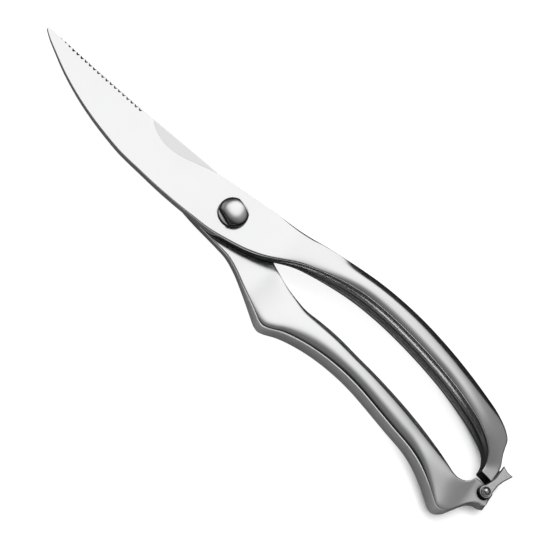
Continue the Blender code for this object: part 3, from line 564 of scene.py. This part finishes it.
# ------------------------------------------------------ cuts into the halves
def pivot_bore(side):
    """Spring recess and bore, upwards from the mating plane for side +1."""
    profile = [
        (RECESS, -1),
        (RECESS, RECESS_DEPTH - RECESS_BREAK),
        (RECESS - RECESS_BREAK, RECESS_DEPTH),
        (BORE + 0.2, RECESS_DEPTH),
        (BORE, RECESS_DEPTH + 0.2),
        (BORE, 5),
    ]
    return turned([(r, MATE + side * h) for r, h in profile[::side]], 72)


def leg_frame(side):
    """Start and direction of the spring's upper (+1) or lower (-1) leg."""
    turn = COIL_ANGLE if side > 0 else COIL_ANGLE - COIL_SWEEP
    start = Vector((COIL * math.cos(turn), COIL * math.sin(turn), side * COIL_END))
    return start, Vector((-math.sin(turn), math.cos(turn), 0)) * side


def leg_slot(side):
    start, along = leg_frame(side)
    across = Vector((-along.y, along.x, 0)) * 0.8
    a, b = start - along * 0.4, start + along * (LEG + 0.9)
    z0, z1 = sorted((MATE - side * 0.5, MATE + side * RECESS_DEPTH))
    return prism([(v.x, v.y) for v in (a - across, b - across, b + across, a + across)], z0, z1)


def stop_groove():
    """Arc-shaped groove in which the stop pin travels."""
    half_width, depth, play = 1.6, 1.6, 0.4
    room = math.degrees((STOP_RADIUS + play) / STOP_ORBIT)
    start, end = STOP_ANGLE - STOP_SWING - room, STOP_ANGLE + room
    outer = arc(0, 0, STOP_ORBIT + half_width, start, end, 30)
    inner = arc(0, 0, STOP_ORBIT - half_width, end, start, 30)
    return prism(outer + inner, MATE - 1, MATE + depth)


def stop_pin():
    a = math.radians(STOP_ANGLE)
    rounding, shoulder = 0.25, MATE + 1.05
    profile = [(STOP_RADIUS, MATE - 1.5), (STOP_RADIUS, shoulder)]
    profile += arc(STOP_RADIUS - rounding, shoulder, rounding, 20, 90, 4)
    return turned(profile, 40, (STOP_ORBIT * math.cos(a), STOP_ORBIT * math.sin(a)))


def edge_at(x):
    """The front half's cutting edge at x: its y, direction and height."""
    for a, b in zip(FRONT[:EDGE_RIBS], FRONT[1:EDGE_RIBS]):
        if a[0] <= x <= b[0]:
            f = (x - a[0]) / (b[0] - a[0])
            turn = math.atan2(b[1] - a[1], b[0] - a[0])
            return a[1] + f * (b[1] - a[1]), turn, a[4] + f * (b[4] - a[4])


def scoop(bm, x, size):
    """A round-bottomed notch: a tilted tube that falls outwards over the edge."""
    y, turn, z = edge_at(x)
    tilt = math.radians(33)
    out = Vector((-math.sin(turn), math.cos(turn), 0))
    along = Vector((math.cos(turn), math.sin(turn), 0))
    axis = (out * math.cos(tilt) - Vector((0, 0, 1)) * math.sin(tilt)).normalized()
    up = axis.cross(along).normalized()
    if up.z < 0:
        up = -up
    start = Vector((x, y, MATE + z)) - out * 1.05 * size
    r = 0.9 * (0.5 + 0.5 * size)
    angles = [2 * math.pi * i / 24 for i in range(24)]
    skin([[tuple(start + axis * d + along * (r * math.cos(a)) + up * (r + r * math.sin(a)))
           for a in angles] for d in (-1.3, 1.7)], bm)


def edge_scoops():
    """A row of scoops from near the tip, the first few growing to full size."""
    bm = bmesh.new()
    for i in range(20):
        scoop(bm, x=-95.0 + 2.15 * i, size=min(1.0, 0.3 + 0.22 * i))
    return bm


def front_half():
    ob = half_mesh("front_half_fine", FRONT, FRONT_CORNERS, 1, pitch_front, soft_front)
    for tool in (pivot_bore(1), leg_slot(1), stop_groove(), edge_scoops()):
        cut(ob, tool)
    return ob


def rear_half():
    ob = half_mesh("rear_half_fine", REAR, REAR_CORNERS, -1, pitch_rear, soft_rear)
    cut(ob, stop_pin(), "UNION")
    cut(ob, pivot_bore(-1))
    cut(ob, leg_slot(-1))
    cut(ob, turned([(LATCH_HOLE, MATE - 8), (LATCH_HOLE, MATE + 8)], 40, LATCH_PIN))
    return ob


# --------------------------------------------------------------- pivot parts
HEAD_FOOT = MATE + HUB + 1.0    # where the boss leaves the bolt's flange


def bolt_boss():
    """The bolt's boss: a low dome with a soft rim, cut by two flats."""
    radius, half_flats, rim, wall, rise = 5.95, 4.7, 0.55, 1.2, 1.6
    lean = math.radians(90 - 16)
    edge = math.acos(half_flats / radius)
    angles = []
    for start in (lean, lean + math.pi):
        angles += [start - edge + 2 * edge * i / 40 for i in range(40)]
        angles += [start + edge + (math.pi - 2 * edge) * i / 48 for i in range(48)]

    def reach(a):
        c = abs(math.cos(a - lean))
        return min(radius, half_flats / c) if c > 1e-6 else radius

    def loop_at(radii, drop=0.0):
        return [(r * math.cos(a), r * math.sin(a),
                 HEAD_FOOT + wall + rise * (1 - (r / radius) ** 3) - drop)
                for a, r in zip(angles, radii)]

    reaches = [reach(a) for a in angles]
    loops = [[(r * math.cos(a), r * math.sin(a), HEAD_FOOT - 0.4)
              for a, r in zip(angles, reaches)]]
    for i in range(9):
        a = math.radians(90 * i / 8)
        inset = rim * (1 - math.cos(a))
        loops.append(loop_at([r - inset for r in reaches], rim * (1 - math.sin(a))))
    for i in range(1, 26):
        loops.append(loop_at([(r - rim) * (1 - i / 26) for r in reaches]))
    return skin(loops)


def pivot_bolt():
    shank, thread_root, flange = 3.0, 2.78, 6.1
    under = MATE + HUB + 0.05
    profile = [(0.5, 0.35), (0.9, 0.0), (2.55, 0.0)]
    # rolled thread on the lower end of the shank
    for i in range(5):
        z = 0.5 * i
        profile += [(shank, z + 0.22), (shank, z + 0.3), (thread_root, z + 0.5)]
    profile += [
        (shank, 2.8), (shank, under), (5.9, under), (flange, under + 0.12),
        (flange, HEAD_FOOT - 0.3), (6.02, HEAD_FOOT - 0.17), (5.9, HEAD_FOOT - 0.12),
        (4.2, HEAD_FOOT + 0.02), (3.0, HEAD_FOOT + 0.02),
    ]
    ob = new_object("pivot_bolt_fine", turned(profile, 96), sharp=35)
    cut(ob, bolt_boss(), "UNION")
    return ob


def pivot_washer():
    top = MATE - HUB - 0.3
    foot = top - 0.6
    rounding, centre = 0.15, 5.45
    profile = [(BORE, foot + 0.08), (BORE + 0.08, foot)]
    profile += arc(centre, foot + rounding, rounding, -90, 0, 4)
    profile += arc(centre, top - rounding, rounding, 0, 90, 4)
    profile += [(BORE + 0.08, top), (BORE, top - 0.08)]
    return new_object("pivot_washer_fine", turned(profile, 96, closed=True), sharp=40)


def pivot_nut():
    foot, top, half_flats = 0.3, 2.3, 5.0
    corner = half_flats / math.cos(math.pi / 6)
    hexagon = skin([ring(corner, z, 6, turn=math.pi / 6) for z in (foot, top)])
    ob = new_object("pivot_nut_fine", hexagon, sharp=28)
    # chamfers of the six corners
    chamfer = [
        (4.7, foot - 1e-3), (4.95, foot), (corner + 0.1, foot + 0.52),
        (corner + 0.1, top - 0.3), (corner - 0.3, top), (corner - 0.3, top + 1e-3),
    ]
    cut(ob, turned(chamfer, 144), "INTERSECT")
    thread = [(3.75, foot - 0.01), (BORE, foot + 0.4)]
    for i in range(3):
        z = foot + 0.4 + 0.5 * i
        thread += [(BORE, z + 0.1), (3.48, z + 0.28), (BORE, z + 0.46)]
    thread += [(BORE, top - 0.3), (3.6, top + 0.01)]
    cut(ob, turned(thread, 96))
    return ob


def torsion_spring():
    upper, along_upper = leg_frame(1)
    lower, along_lower = leg_frame(-1)
    centres = [lower + along_lower * (LEG * (1 - i / 7)) for i in range(7)]
    for i in range(181):
        f = i / 180
        a = COIL_ANGLE - COIL_SWEEP + COIL_SWEEP * f
        z = -COIL_END + 2 * COIL_END * f
        centres.append(Vector((COIL * math.cos(a), COIL * math.sin(a), z)))
    centres += [upper + along_upper * (LEG * i / 7) for i in range(1, 8)]
    angles = [2 * math.pi * j / 14 for j in range(14)]
    loops = []
    for i, c in enumerate(centres):
        ahead = centres[min(i + 1, len(centres) - 1)]
        along = (ahead - centres[max(i - 1, 0)]).normalized()
        across = along.cross(Vector((0, 0, 1))).normalized()
        up = across.cross(along)
        c = c + Vector((0, 0, MATE))
        loops.append([tuple(c + WIRE * (math.cos(a) * across + math.sin(a) * up))
                      for a in angles])
    return new_object("torsion_spring_fine", skin(loops), sharp=60, weighted=False)


# --------------------------------------------------------------- latch parts
# One side of the clip from its eye to its flared end: (distance from pin, half width)
CLIP_SIDE = [
    (2.6, 1.92), (4.0, 1.68), (5.2, 1.5), (6.4, 1.46), (7.6, 1.56),
    (8.8, 1.75), (10.2, 2.05), (11.6, 2.34), (13.1, 2.6),
]
# Its hollow end, from the middle to one side
CLIP_END = [(12.62, 0.0), (12.66, 0.7), (12.78, 1.4), (12.95, 2.1)]


def clip_outline():
    """The clip from above, along +X from its pin: eye, waist, flared end."""
    eye = arc(0, 0, 2.75, 48, 312, 40)
    lower = [(x, -y) for x, y in CLIP_SIDE]
    end = [(x, -y) for x, y in reversed(CLIP_END[1:])] + CLIP_END
    return eye + lower + end + CLIP_SIDE[::-1]


def shrunk(outline, inset):
    """The outline moved inwards, square to itself."""
    pts = [Vector(p) for p in outline]
    out = []
    for i, p in enumerate(pts):
        a = (p - pts[i - 1]).normalized()
        b = (pts[(i + 1) % len(pts)] - p).normalized()
        mean = (a + b).normalized()
        inward = Vector((-mean.y, mean.x))
        move = p + inward * inset / max(0.35, mean.dot(a))
        out.append((move.x, move.y))
    return out


def onto_pin(bm):
    bm.transform(Matrix.Rotation(math.radians(LATCH_TURN), 4, "Z"))
    bmesh.ops.translate(bm, vec=(*LATCH_PIN, 0), verts=bm.verts)
    return bm


def latch_clip():
    """Two plates, above and below the lug, joined by a web at the flared end."""
    outline = clip_outline()
    near, far = CLIP_GAP, CLIP_GAP + CLIP_SHEET
    edge = [(0.36, 0.0), (0.04, 0.13), (0.0, 0.22)]     # (inset, height) of a broken edge
    bm = bmesh.new()
    for z0, z1 in ((MATE + near, MATE + far), (MATE - far, MATE - near)):
        levels = [(d, z0 + h) for d, h in edge] + [(d, z1 - h) for d, h in reversed(edge)]
        skin([[(x, y, z) for x, y in shrunk(outline, d)] for d, z in levels], bm)
    ob = new_object("latch_clip_fine", onto_pin(bm), sharp=30)
    x0, x1, half_width, half_height = 12.0, 12.55, 1.9, 4.9
    corners = [(x0, -half_width), (x1, -half_width), (x1, half_width), (x0, half_width)]
    web = prism(corners, MATE - half_height, MATE + half_height)
    cut(ob, onto_pin(web), "UNION")
    cut(ob, turned([(LATCH_HOLE, MATE - 8), (LATCH_HOLE, MATE + 8)], 48, LATCH_PIN))
    return ob


def latch_rivet():
    z0 = CLIP_GAP + CLIP_SHEET + 0.25
    dome = 1.3
    # a flat lip, a turned groove, and the dome inside it
    half = [
        (1.2, z0), (1.75, z0), (1.9, z0 + 0.12), (1.9, z0 + 0.36), (1.84, z0 + 0.42),
        (1.78, z0 + 0.42), (1.7, z0 + 0.36), (1.58, z0 + 0.06), (1.42, z0 + 0.02),
        (1.32, z0 + 0.08), (dome, z0 + 0.3),
    ]
    for i in range(1, 15):
        r = dome * (1 - i / 15)
        half.append((r, z0 + 0.34 + 0.5 * (1 - (r / dome) ** 2.6)))
    profile = [(r, MATE - z) for r, z in reversed(half)] + [(r, MATE + z) for r, z in half]
    return new_object("latch_rivet_fine", turned(profile, 64, LATCH_PIN), sharp=50)


# --------------------------------------------------------------- node graphs
class Graph:
    """Small helper for building node trees."""

    def __init__(self, tree):
        self.tree = tree

    def node(self, kind, **props):
        node = self.tree.nodes.new(kind)
        for key, value in props.items():
            setattr(node, key, value)
        return node

    def put(self, socket, value):
        """Link a socket, or set it to a plain value."""
        if isinstance(value, bpy.types.NodeSocket):
            self.tree.links.new(value, socket)
        else:
            socket.default_value = value

    def math(self, op, a, b=0.0, c=0.0):
        node = self.node("ShaderNodeMath", operation=op)
        for socket, value in zip(node.inputs, (a, b, c)):
            self.put(socket, value)
        return node.outputs[0]

    def times(self, a, b):
        return self.math("MULTIPLY", a, b)

    def around(self, base, noise, amount):
        """base plus a noise centred on zero, amount from lowest to highest."""
        return self.math("ADD", base, self.times(self.math("SUBTRACT", noise, 0.5), amount))

    def less(self, value, loss):
        return self.times(value, self.math("SUBTRACT", 1.0, loss))

    def ramp(self, value, span, to=(0.0, 1.0), kind="SMOOTHSTEP"):
        """Map a span of the value, which may run downwards, onto another."""
        node = self.node("ShaderNodeMapRange", interpolation_type=kind)
        self.put(node.inputs["Value"], value)
        node.inputs["From Min"].default_value = span[0]
        node.inputs["From Max"].default_value = span[1]
        node.inputs["To Min"].default_value = to[0]
        node.inputs["To Max"].default_value = to[1]
        return node.outputs[0]

    def noise(self, vector, scale, detail, rough):
        node = self.node("ShaderNodeTexNoise", noise_dimensions="3D")
        self.put(node.inputs["Vector"], vector)
        node.inputs["Scale"].default_value = scale
        node.inputs["Detail"].default_value = detail
        node.inputs["Roughness"].default_value = rough
        return node.outputs["Fac"]

    def scaled(self, vector, scale):
        node = self.node("ShaderNodeVectorMath", operation="MULTIPLY")
        self.put(node.inputs[0], vector)
        node.inputs[1].default_value = scale
        return node.outputs[0]

    def split(self, vector):
        node = self.node("ShaderNodeSeparateXYZ")
        self.put(node.inputs[0], vector)
        return node.outputs

    def normal(self, kind):
        return self.split(self.node("ShaderNodeNewGeometry").outputs[kind])

    def occlusion(self, distance, only_local=False):
        node = self.node("ShaderNodeAmbientOcclusion", samples=4)
        node.inputs["Distance"].default_value = distance
        node.only_local = only_local
        return node.outputs["AO"]

    def box(self, x, y, x_span, y_span, soft_x, soft_y):
        """1 inside a soft-edged rectangle."""
        sides = []
        for value, (low, high), soft in ((x, x_span, soft_x), (y, y_span, soft_y)):
            sides.append(self.ramp(value, (low - soft, low + soft)))
            sides.append(self.ramp(value, (high + soft, high - soft)))
        return self.times(self.times(*sides[:2]), self.times(*sides[2:]))


def new_material(name):
    mat = bpy.data.materials.new(name)
    mat.use_nodes = True
    return mat, Graph(mat.node_tree)


def bare_surface(g):
    """The surface socket of a material, freed of its default shader."""
    g.tree.nodes.remove(g.tree.nodes["Principled BSDF"])
    return g.tree.nodes["Material Output"].inputs[0]


# -------------------------------------------------------------------- steels
# Painted crevice shade, darker where the surface is occluded: distance looked over in
# metres, open-sky values where the loss is full and nil, and the tone kept at full loss
PAINTED_CREVICE_SHADE = dict(distance=0.0026, span=(0.5, 0.88), kept=0.12)


def painted_shade_zones(g, tone, pos, zones):
    """Painted shade on walls, broken edges and notches, which come out darker than the faces.

    A zone's pairs run from none to full effect: x in mm, upright part of the normal
    (1 on a flat face), and, if given, lean of the normal towards +Y."""
    normal = g.normal("Normal")
    upright = g.math("ABSOLUTE", normal[2])
    x = g.split(pos)[0]
    for zone in zones:
        part = g.times(g.ramp(upright, zone["upright"]),
                       g.ramp(x, zone["x"], to=(0.0, zone["loss"])))
        if "lean" in zone:
            part = g.times(part, g.ramp(normal[1], zone["lean"]))
        tone = g.less(tone, part)
    return tone


def painted_crevice_shade(g, pos, crevice_shade, own_only, clear_to, walls_only):
    """Painted shade: a loss of tone in crevices, where the surface is occluded."""
    sky = g.occlusion(crevice_shade["distance"], only_local=own_only)
    kept = g.ramp(sky, crevice_shade["span"], to=(crevice_shade["kept"], 1.0), kind="LINEAR")
    lost = g.math("SUBTRACT", 1.0, kept)
    if clear_to is not None:
        lost = g.times(lost, g.ramp(g.split(pos)[0], (clear_to - 4, clear_to + 4)))
    if walls_only:
        upright = g.math("ABSOLUTE", g.normal("True Normal")[2])
        lost = g.times(lost, g.ramp(upright, (0.85, 0.6)))
    return lost


def steel(name, colour, rough, lay_bump, grain_bump, stretch=None, anisotropy=0.0,
          speckle=0.0, ground=None, painted_edge_shade=0.0, painted_shade=(), crevice_shade=PAINTED_CREVICE_SHADE,
          own_only=False, clear_to=None, walls_only=False):
    """Stainless steel.

    lay_bump, grain_bump: bump of the fine lay and of an even grain
    stretch: (u, v) scale of the lay on the piece's own run
    ground: dict(x, loss), a duller ground mating flat up to this x
    painted_edge_shade: painted shade, a loss of tone on the walls and broken edges of sheet
    metal
    own_only: the painted crevice shade counts the piece itself only
    clear_to: from this x towards the tips there is no painted crevice shade"""
    mat, g = new_material(name)
    bsdf = g.tree.nodes["Principled BSDF"]
    coords = g.node("ShaderNodeTexCoord").outputs
    if stretch:
        run = g.scaled(coords["UV"], (*stretch, 1.0))
    else:
        run = g.scaled(coords["Object"], (600.0, 2600.0, 600.0))
    lay = g.noise(run, scale=1.0, detail=4.0, rough=0.6)
    pos = g.scaled(coords["Object"], (1000.0, 1000.0, 1000.0))      # in mm
    cloud = g.noise(pos, scale=0.09, detail=3.0, rough=0.55)
    grain = g.noise(pos, scale=2.2, detail=2.0, rough=0.7)

    # finish and tone vary gently over the surface
    varied = g.around(rough, cloud, amount=0.10)
    g.put(bsdf.inputs["Roughness"], g.around(varied, lay, amount=0.10))
    tone = g.around(1.0, lay, amount=0.10)
    tone = g.times(tone, g.around(1.0, cloud, amount=0.08))
    if speckle:
        tone = g.times(tone, g.around(1.0, grain, amount=speckle))
    if ground:
        at = g.split(pos)
        flat = g.times(g.ramp(at[2], (MATE - 0.25, MATE - 0.2)),
                       g.ramp(at[0], (ground["x"] + 2, ground["x"] - 2)))
        tone = g.less(tone, g.times(flat, ground["loss"]))
    # painted shade on the walls and broken edges of sheet metal, for dark outlines
    if painted_edge_shade:
        upright = g.math("ABSOLUTE", g.normal("True Normal")[2])
        tone = g.less(tone, g.times(g.ramp(upright, (0.99, 0.95)), painted_edge_shade))
    # painted shade on steep faces, zone by zone
    if painted_shade:
        tone = painted_shade_zones(g, tone, pos, painted_shade)
    # painted shade in crevices
    tone = g.less(tone, painted_crevice_shade(g, pos, crevice_shade, own_only, clear_to, walls_only))
    shade = g.node("ShaderNodeVectorMath", operation="SCALE")
    shade.inputs[0].default_value = colour
    g.put(shade.inputs["Scale"], tone)
    g.put(bsdf.inputs["Base Color"], shade.outputs[0])

    bump = g.node("ShaderNodeBump")
    bump.inputs["Strength"].default_value = 1.0
    bump.inputs["Distance"].default_value = 0.00001
    height = g.math("ADD", g.times(lay, lay_bump), g.times(grain, grain_bump))
    g.put(bump.inputs["Height"], height)
    g.put(bsdf.inputs["Normal"], bump.outputs[0])

    bsdf.inputs["Metallic"].default_value = 1.0
    if anisotropy:
        bsdf.inputs["Anisotropic"].default_value = anisotropy
        tangent = g.node("ShaderNodeTangent", direction_type="UV_MAP")
        g.put(bsdf.inputs["Tangent"], tangent.outputs[0])
    return mat


SATIN = dict(colour=(0.65, 0.65, 0.655), rough=0.21, lay_bump=0.12,
             stretch=(0.08, 4.0), anisotropy=0.3)


def satin_front():
    return steel(
        "satin_steel_front", **SATIN, grain_bump=0.3, clear_to=24.0, own_only=True,
        # painted crevice shade in the flutes and along the wall bottoms
        crevice_shade=dict(distance=0.0028, span=(0.76, 1.01), kept=0.08),
        # painted shade on the walls of neck and handle end, and on the far edges at tip and
        # foot
        painted_shade=[
            dict(x=(46, 30), upright=(0.9, 0.68), loss=0.38),
            dict(x=(134, 137), upright=(0.9, 0.68), loss=0.75),
            dict(x=(108, 126), upright=(0.88, 0.6), loss=0.45),
            dict(x=(-50, -54), upright=(0.96, 0.86), loss=0.85, lean=(0.15, 0.35)),
            dict(x=(112, 124), upright=(0.97, 0.85), loss=0.75, lean=(0.15, 0.4)),
        ])


def satin_rear():
    return steel(
        "satin_steel_rear", **SATIN, grain_bump=0.35, clear_to=-10.0,
        ground=dict(x=-14.0, loss=0.16),
        # painted crevice shade under the front half's walls
        crevice_shade=dict(distance=0.0019, span=(0.5, 0.88), kept=0.1),
        # painted shade on the neck walls and on the far edges at the foot
        painted_shade=[
            dict(x=(30, 14), upright=(0.9, 0.68), loss=0.3),
            dict(x=(112, 124), upright=(0.97, 0.85), loss=0.7, lean=(0.15, 0.4)),
        ])


def polished_steel():
    return steel(
        "polished_steel", colour=(0.72, 0.72, 0.725), rough=0.3, lay_bump=0.15,
        grain_bump=0.1, walls_only=True,
        # painted crevice shade on the bolt's walls
        crevice_shade=dict(distance=0.005, span=(0.55, 0.98), kept=0.05),
        # painted shade on the bolt's steep sides
        painted_shade=[dict(x=(-99, -98), upright=(0.965, 0.77), loss=0.92)])


def plated_nut():
    return steel("plated_nut", colour=(0.62, 0.62, 0.625), rough=0.2,
                 lay_bump=0.3, grain_bump=0.3)


def washer_steel():
    return steel("washer_steel", colour=(0.56, 0.56, 0.565), rough=0.32,
                 lay_bump=0.5, grain_bump=0.6)


def spring_wire():
    return steel("spring_wire", colour=(0.46, 0.46, 0.48), rough=0.26,
                 lay_bump=0.3, grain_bump=0.4)


def stamped_steel():
    return steel(
        "stamped_steel", colour=(0.66, 0.66, 0.665), rough=0.32, lay_bump=0.6,
        # painted shade on the clip's walls and broken edges
        grain_bump=2.2, painted_edge_shade=0.95, speckle=1.0,
        # painted crevice shade around the rivet
        crevice_shade=dict(distance=0.0012, span=(0.4, 0.8), kept=0.25))


def rivet_steel():
    return steel(
        "rivet_steel", colour=(0.72, 0.72, 0.725), rough=0.16, lay_bump=0.1,
        # painted crevice shade: the dark ring around the dome
        grain_bump=0.1, crevice_shade=dict(distance=0.0015, span=(0.55, 0.95), kept=0.04))


# ------------------------------------------------------------------- staging
FLOOR_GLOW = 0.88               # emission of the floor as the camera sees it
FLOOR_PALE = 0.86               # its diffuse grey
# FLOOR_SEEN_IN_STEEL paints extra brightness: a floor colour over 1, seen in reflections only
FLOOR_SEEN_IN_STEEL = 1.15      # brightness of the floor in reflections

CEILING = 1.2                   # height of the diffuser
CEILING_HALF = 4.6
# Panels on the diffuser: level, x span, y span, edge softness in x and in y
PANELS = [
    (1.12, (-0.85, 0.24), (0.27, 2.6), 0.2, 0.2),
    (0.33, (-1.0, 2.6), (0.27, 2.6), 0.3, 0.2),
    (0.2, (-2.6, 2.6), (-0.3, 0.27), 0.1, 0.15),
    # far out towards -X and towards -Y
    (0.85, (-4.5, -1.6), (-1.6, 1.2), 0.5, 0.5),
    (0.85, (-1.8, 1.8), (-4.5, -1.7), 0.5, 0.5),
]
WORLD_BASE = 0.025
# A glow low in the -Y sky, as spans of the direction
HORIZON = dict(level=2.2, x=(-1.0, 1.0), y=(-1.2, -0.3), z=(0.0, 0.3), soft=0.2, soft_z=0.05)


def floor_to_camera(g, position):
    """Glowing pale floor with a soft painted contact shadow under the handle ends."""
    seen = g.node("ShaderNodeAddShader")
    glow = g.node("ShaderNodeEmission")
    glow.inputs["Color"].default_value = (1, 1, 1, 1)
    pale = g.node("ShaderNodeBsdfDiffuse")
    g.put(seen.inputs[0], glow.outputs[0])
    g.put(seen.inputs[1], pale.outputs[0])
    # painted contact shadow from occlusion, only towards the handle ends
    sky = g.occlusion(0.005)
    x = g.split(position)[0]
    open_part = g.ramp(sky, (0.35, 0.85), to=(0.1, 1.0), kind="LINEAR")
    lost = g.times(g.math("SUBTRACT", 1.0, open_part), g.ramp(x, (0.095, 0.130)))
    kept = g.math("SUBTRACT", 1.0, lost)
    g.put(glow.inputs["Strength"], g.times(kept, FLOOR_GLOW))
    g.put(pale.inputs["Color"], g.times(kept, FLOOR_PALE))
    return seen.outputs[0]


def floor_to_steel(g, position):
    """The floor as reflected in the steel, with painted shade beneath and around the shears."""
    painted_shade = g.node("ShaderNodeBsdfDiffuse")
    # painted contact shade from occlusion
    shade = g.ramp(g.occlusion(0.016), (0.25, 0.95), to=(0.12, 1.0), kind="LINEAR")
    x, y, _ = g.split(position)
    # painted shade beyond the +Y side and beyond the handle ends, a little so under the blades
    shade = g.times(shade, g.ramp(y, (0.028, -0.012), to=(0.05, 1.0)))
    shade = g.times(shade, g.ramp(x, (0.156, 0.140), to=(0.12, 1.0)))
    shade = g.times(shade, g.ramp(x, (0.0, 0.05), to=(0.78, 1.0)))
    g.put(painted_shade.inputs["Color"], g.times(shade, FLOOR_SEEN_IN_STEEL))
    return painted_shade.outputs[0]


def mixed(g, factor, first, second):
    mix = g.node("ShaderNodeMixShader")
    for socket, value in zip(mix.inputs, (factor, first, second)):
        g.put(socket, value)
    return mix.outputs[0]


def floor_material():
    """Different floors for camera and reflections; clear from below."""
    mat, g = new_material("pale_floor")
    surface = bare_surface(g)
    path = g.node("ShaderNodeLightPath").outputs
    geo = g.node("ShaderNodeNewGeometry").outputs
    to_camera = floor_to_camera(g, geo["Position"])
    to_steel = floor_to_steel(g, geo["Position"])
    above = mixed(g, path["Is Camera Ray"], to_steel, to_camera)
    clear = g.node("ShaderNodeBsdfTransparent").outputs[0]
    g.put(surface, mixed(g, geo["Backfacing"], above, clear))
    return mat


def build_floor():
    bm = bmesh.new()
    bmesh.ops.create_circle(bm, cap_ends=True, segments=96, radius=6.0)
    floor = mesh_object("floor", bm)
    floor.location.z = CAD_BOX[0][2] - 0.0001
    floor.data.materials.append(floor_material())


def diffuser_material():
    mat, g = new_material("diffuser_light")
    surface = bare_surface(g)
    x, y, _ = g.split(g.node("ShaderNodeTexCoord").outputs["Object"])
    total = None
    for level, x_span, y_span, soft_x, soft_y in PANELS:
        term = g.times(g.box(x, y, x_span, y_span, soft_x, soft_y), level)
        total = term if total is None else g.math("ADD", total, term)
    glow = g.node("ShaderNodeEmission")
    g.put(glow.inputs["Strength"], total)
    g.put(surface, glow.outputs[0])
    return mat


def build_ceiling():
    """One large overhead diffuser, facing down, that carries the panels."""
    h = CEILING_HALF
    bm = bmesh.new()
    verts = [bm.verts.new((x, y, 0)) for x, y in ((-h, -h), (h, -h), (h, h), (-h, h))]
    bm.faces.new(list(reversed(verts)))
    ob = mesh_object("diffuser", bm)
    ob.location.z = CEILING
    ob.visible_camera = False
    ob.visible_shadow = False
    ob.data.materials.append(diffuser_material())


def build_world():
    """White to the camera; dim, with a glow near the horizon, to everything else."""
    world = bpy.data.worlds.new("studio")
    bpy.context.scene.world = world
    world.use_nodes = True
    g = Graph(world.node_tree)
    back = world.node_tree.nodes["Background"]
    path = g.node("ShaderNodeLightPath").outputs
    x, y, z = g.split(g.node("ShaderNodeTexCoord").outputs["Generated"])
    base = g.math("ADD", WORLD_BASE, 0.0)
    soft, soft_z, (low, high) = HORIZON["soft"], HORIZON["soft_z"], HORIZON["z"]
    patch = g.box(x, y, HORIZON["x"], HORIZON["y"], soft, soft)
    band = g.times(g.ramp(z, (low - soft_z, low + soft_z)),
                   g.ramp(z, (high + soft_z, high - soft_z)))
    total = g.math("ADD", base, g.times(g.times(patch, band), HORIZON["level"]))
    seen = g.node("ShaderNodeMix", data_type="FLOAT")
    g.put(seen.inputs[0], path["Is Camera Ray"])
    g.put(seen.inputs[2], total)
    seen.inputs[3].default_value = 1.0
    g.put(back.inputs["Strength"], seen.outputs[0])
    back.inputs["Color"].default_value = (1, 1, 1, 1)


def build_camera():
    cam = bpy.data.cameras.new("camera")
    cam.lens = 119.13
    cam.sensor_width = 36.0
    cam.clip_start = 0.01
    cam.clip_end = 50
    ob = bpy.data.objects.new("camera", cam)
    bpy.context.scene.collection.objects.link(ob)
    right = (0.70666, 0.64190, 0.29767)
    up = (-0.70666, 0.61902, 0.34271)
    back = (0.03573, -0.45252, 0.89104)
    place = (0.05297, -0.31968, 0.62803)
    columns = Matrix(((*right, 0), (*up, 0), (*back, 0), (*place, 1)))
    ob.matrix_world = columns.transposed()
    bpy.context.scene.camera = ob


def main():
    bpy.context.scene.view_settings.view_transform = "Standard"
    bpy.context.scene.view_settings.look = "None"

    # builder, finish, body it rides on, CAD node it replaces
    pieces = [
        (front_half, satin_front(), "front", "front_half"),
        (rear_half, satin_rear(), "rear", "rear_half"),
        (pivot_bolt, polished_steel(), "rear", "pivot_bolt"),
        (pivot_nut, plated_nut(), "rear", "pivot_nut"),
        (pivot_washer, washer_steel(), "rear", "pivot_washer"),
        (torsion_spring, spring_wire(), None, "torsion_spring"),
        (latch_clip, stamped_steel(), "latch", "latch_clip"),
        (latch_rivet, rivet_steel(), "rear", "latch_rivet"),
    ]
    for build, mat, body, node in pieces:
        ob = build()
        dress(ob, mat)
        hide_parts(node)
        if body:
            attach(ob, body)
        else:
            # the spring winds between the two halves
            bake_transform(ob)
        # the hidden CAD node carries the same finish
        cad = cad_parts[node]
        cad.data.materials.clear()
        cad.data.materials.append(mat)

    build_floor()
    build_ceiling()
    build_world()
    build_camera()


main()
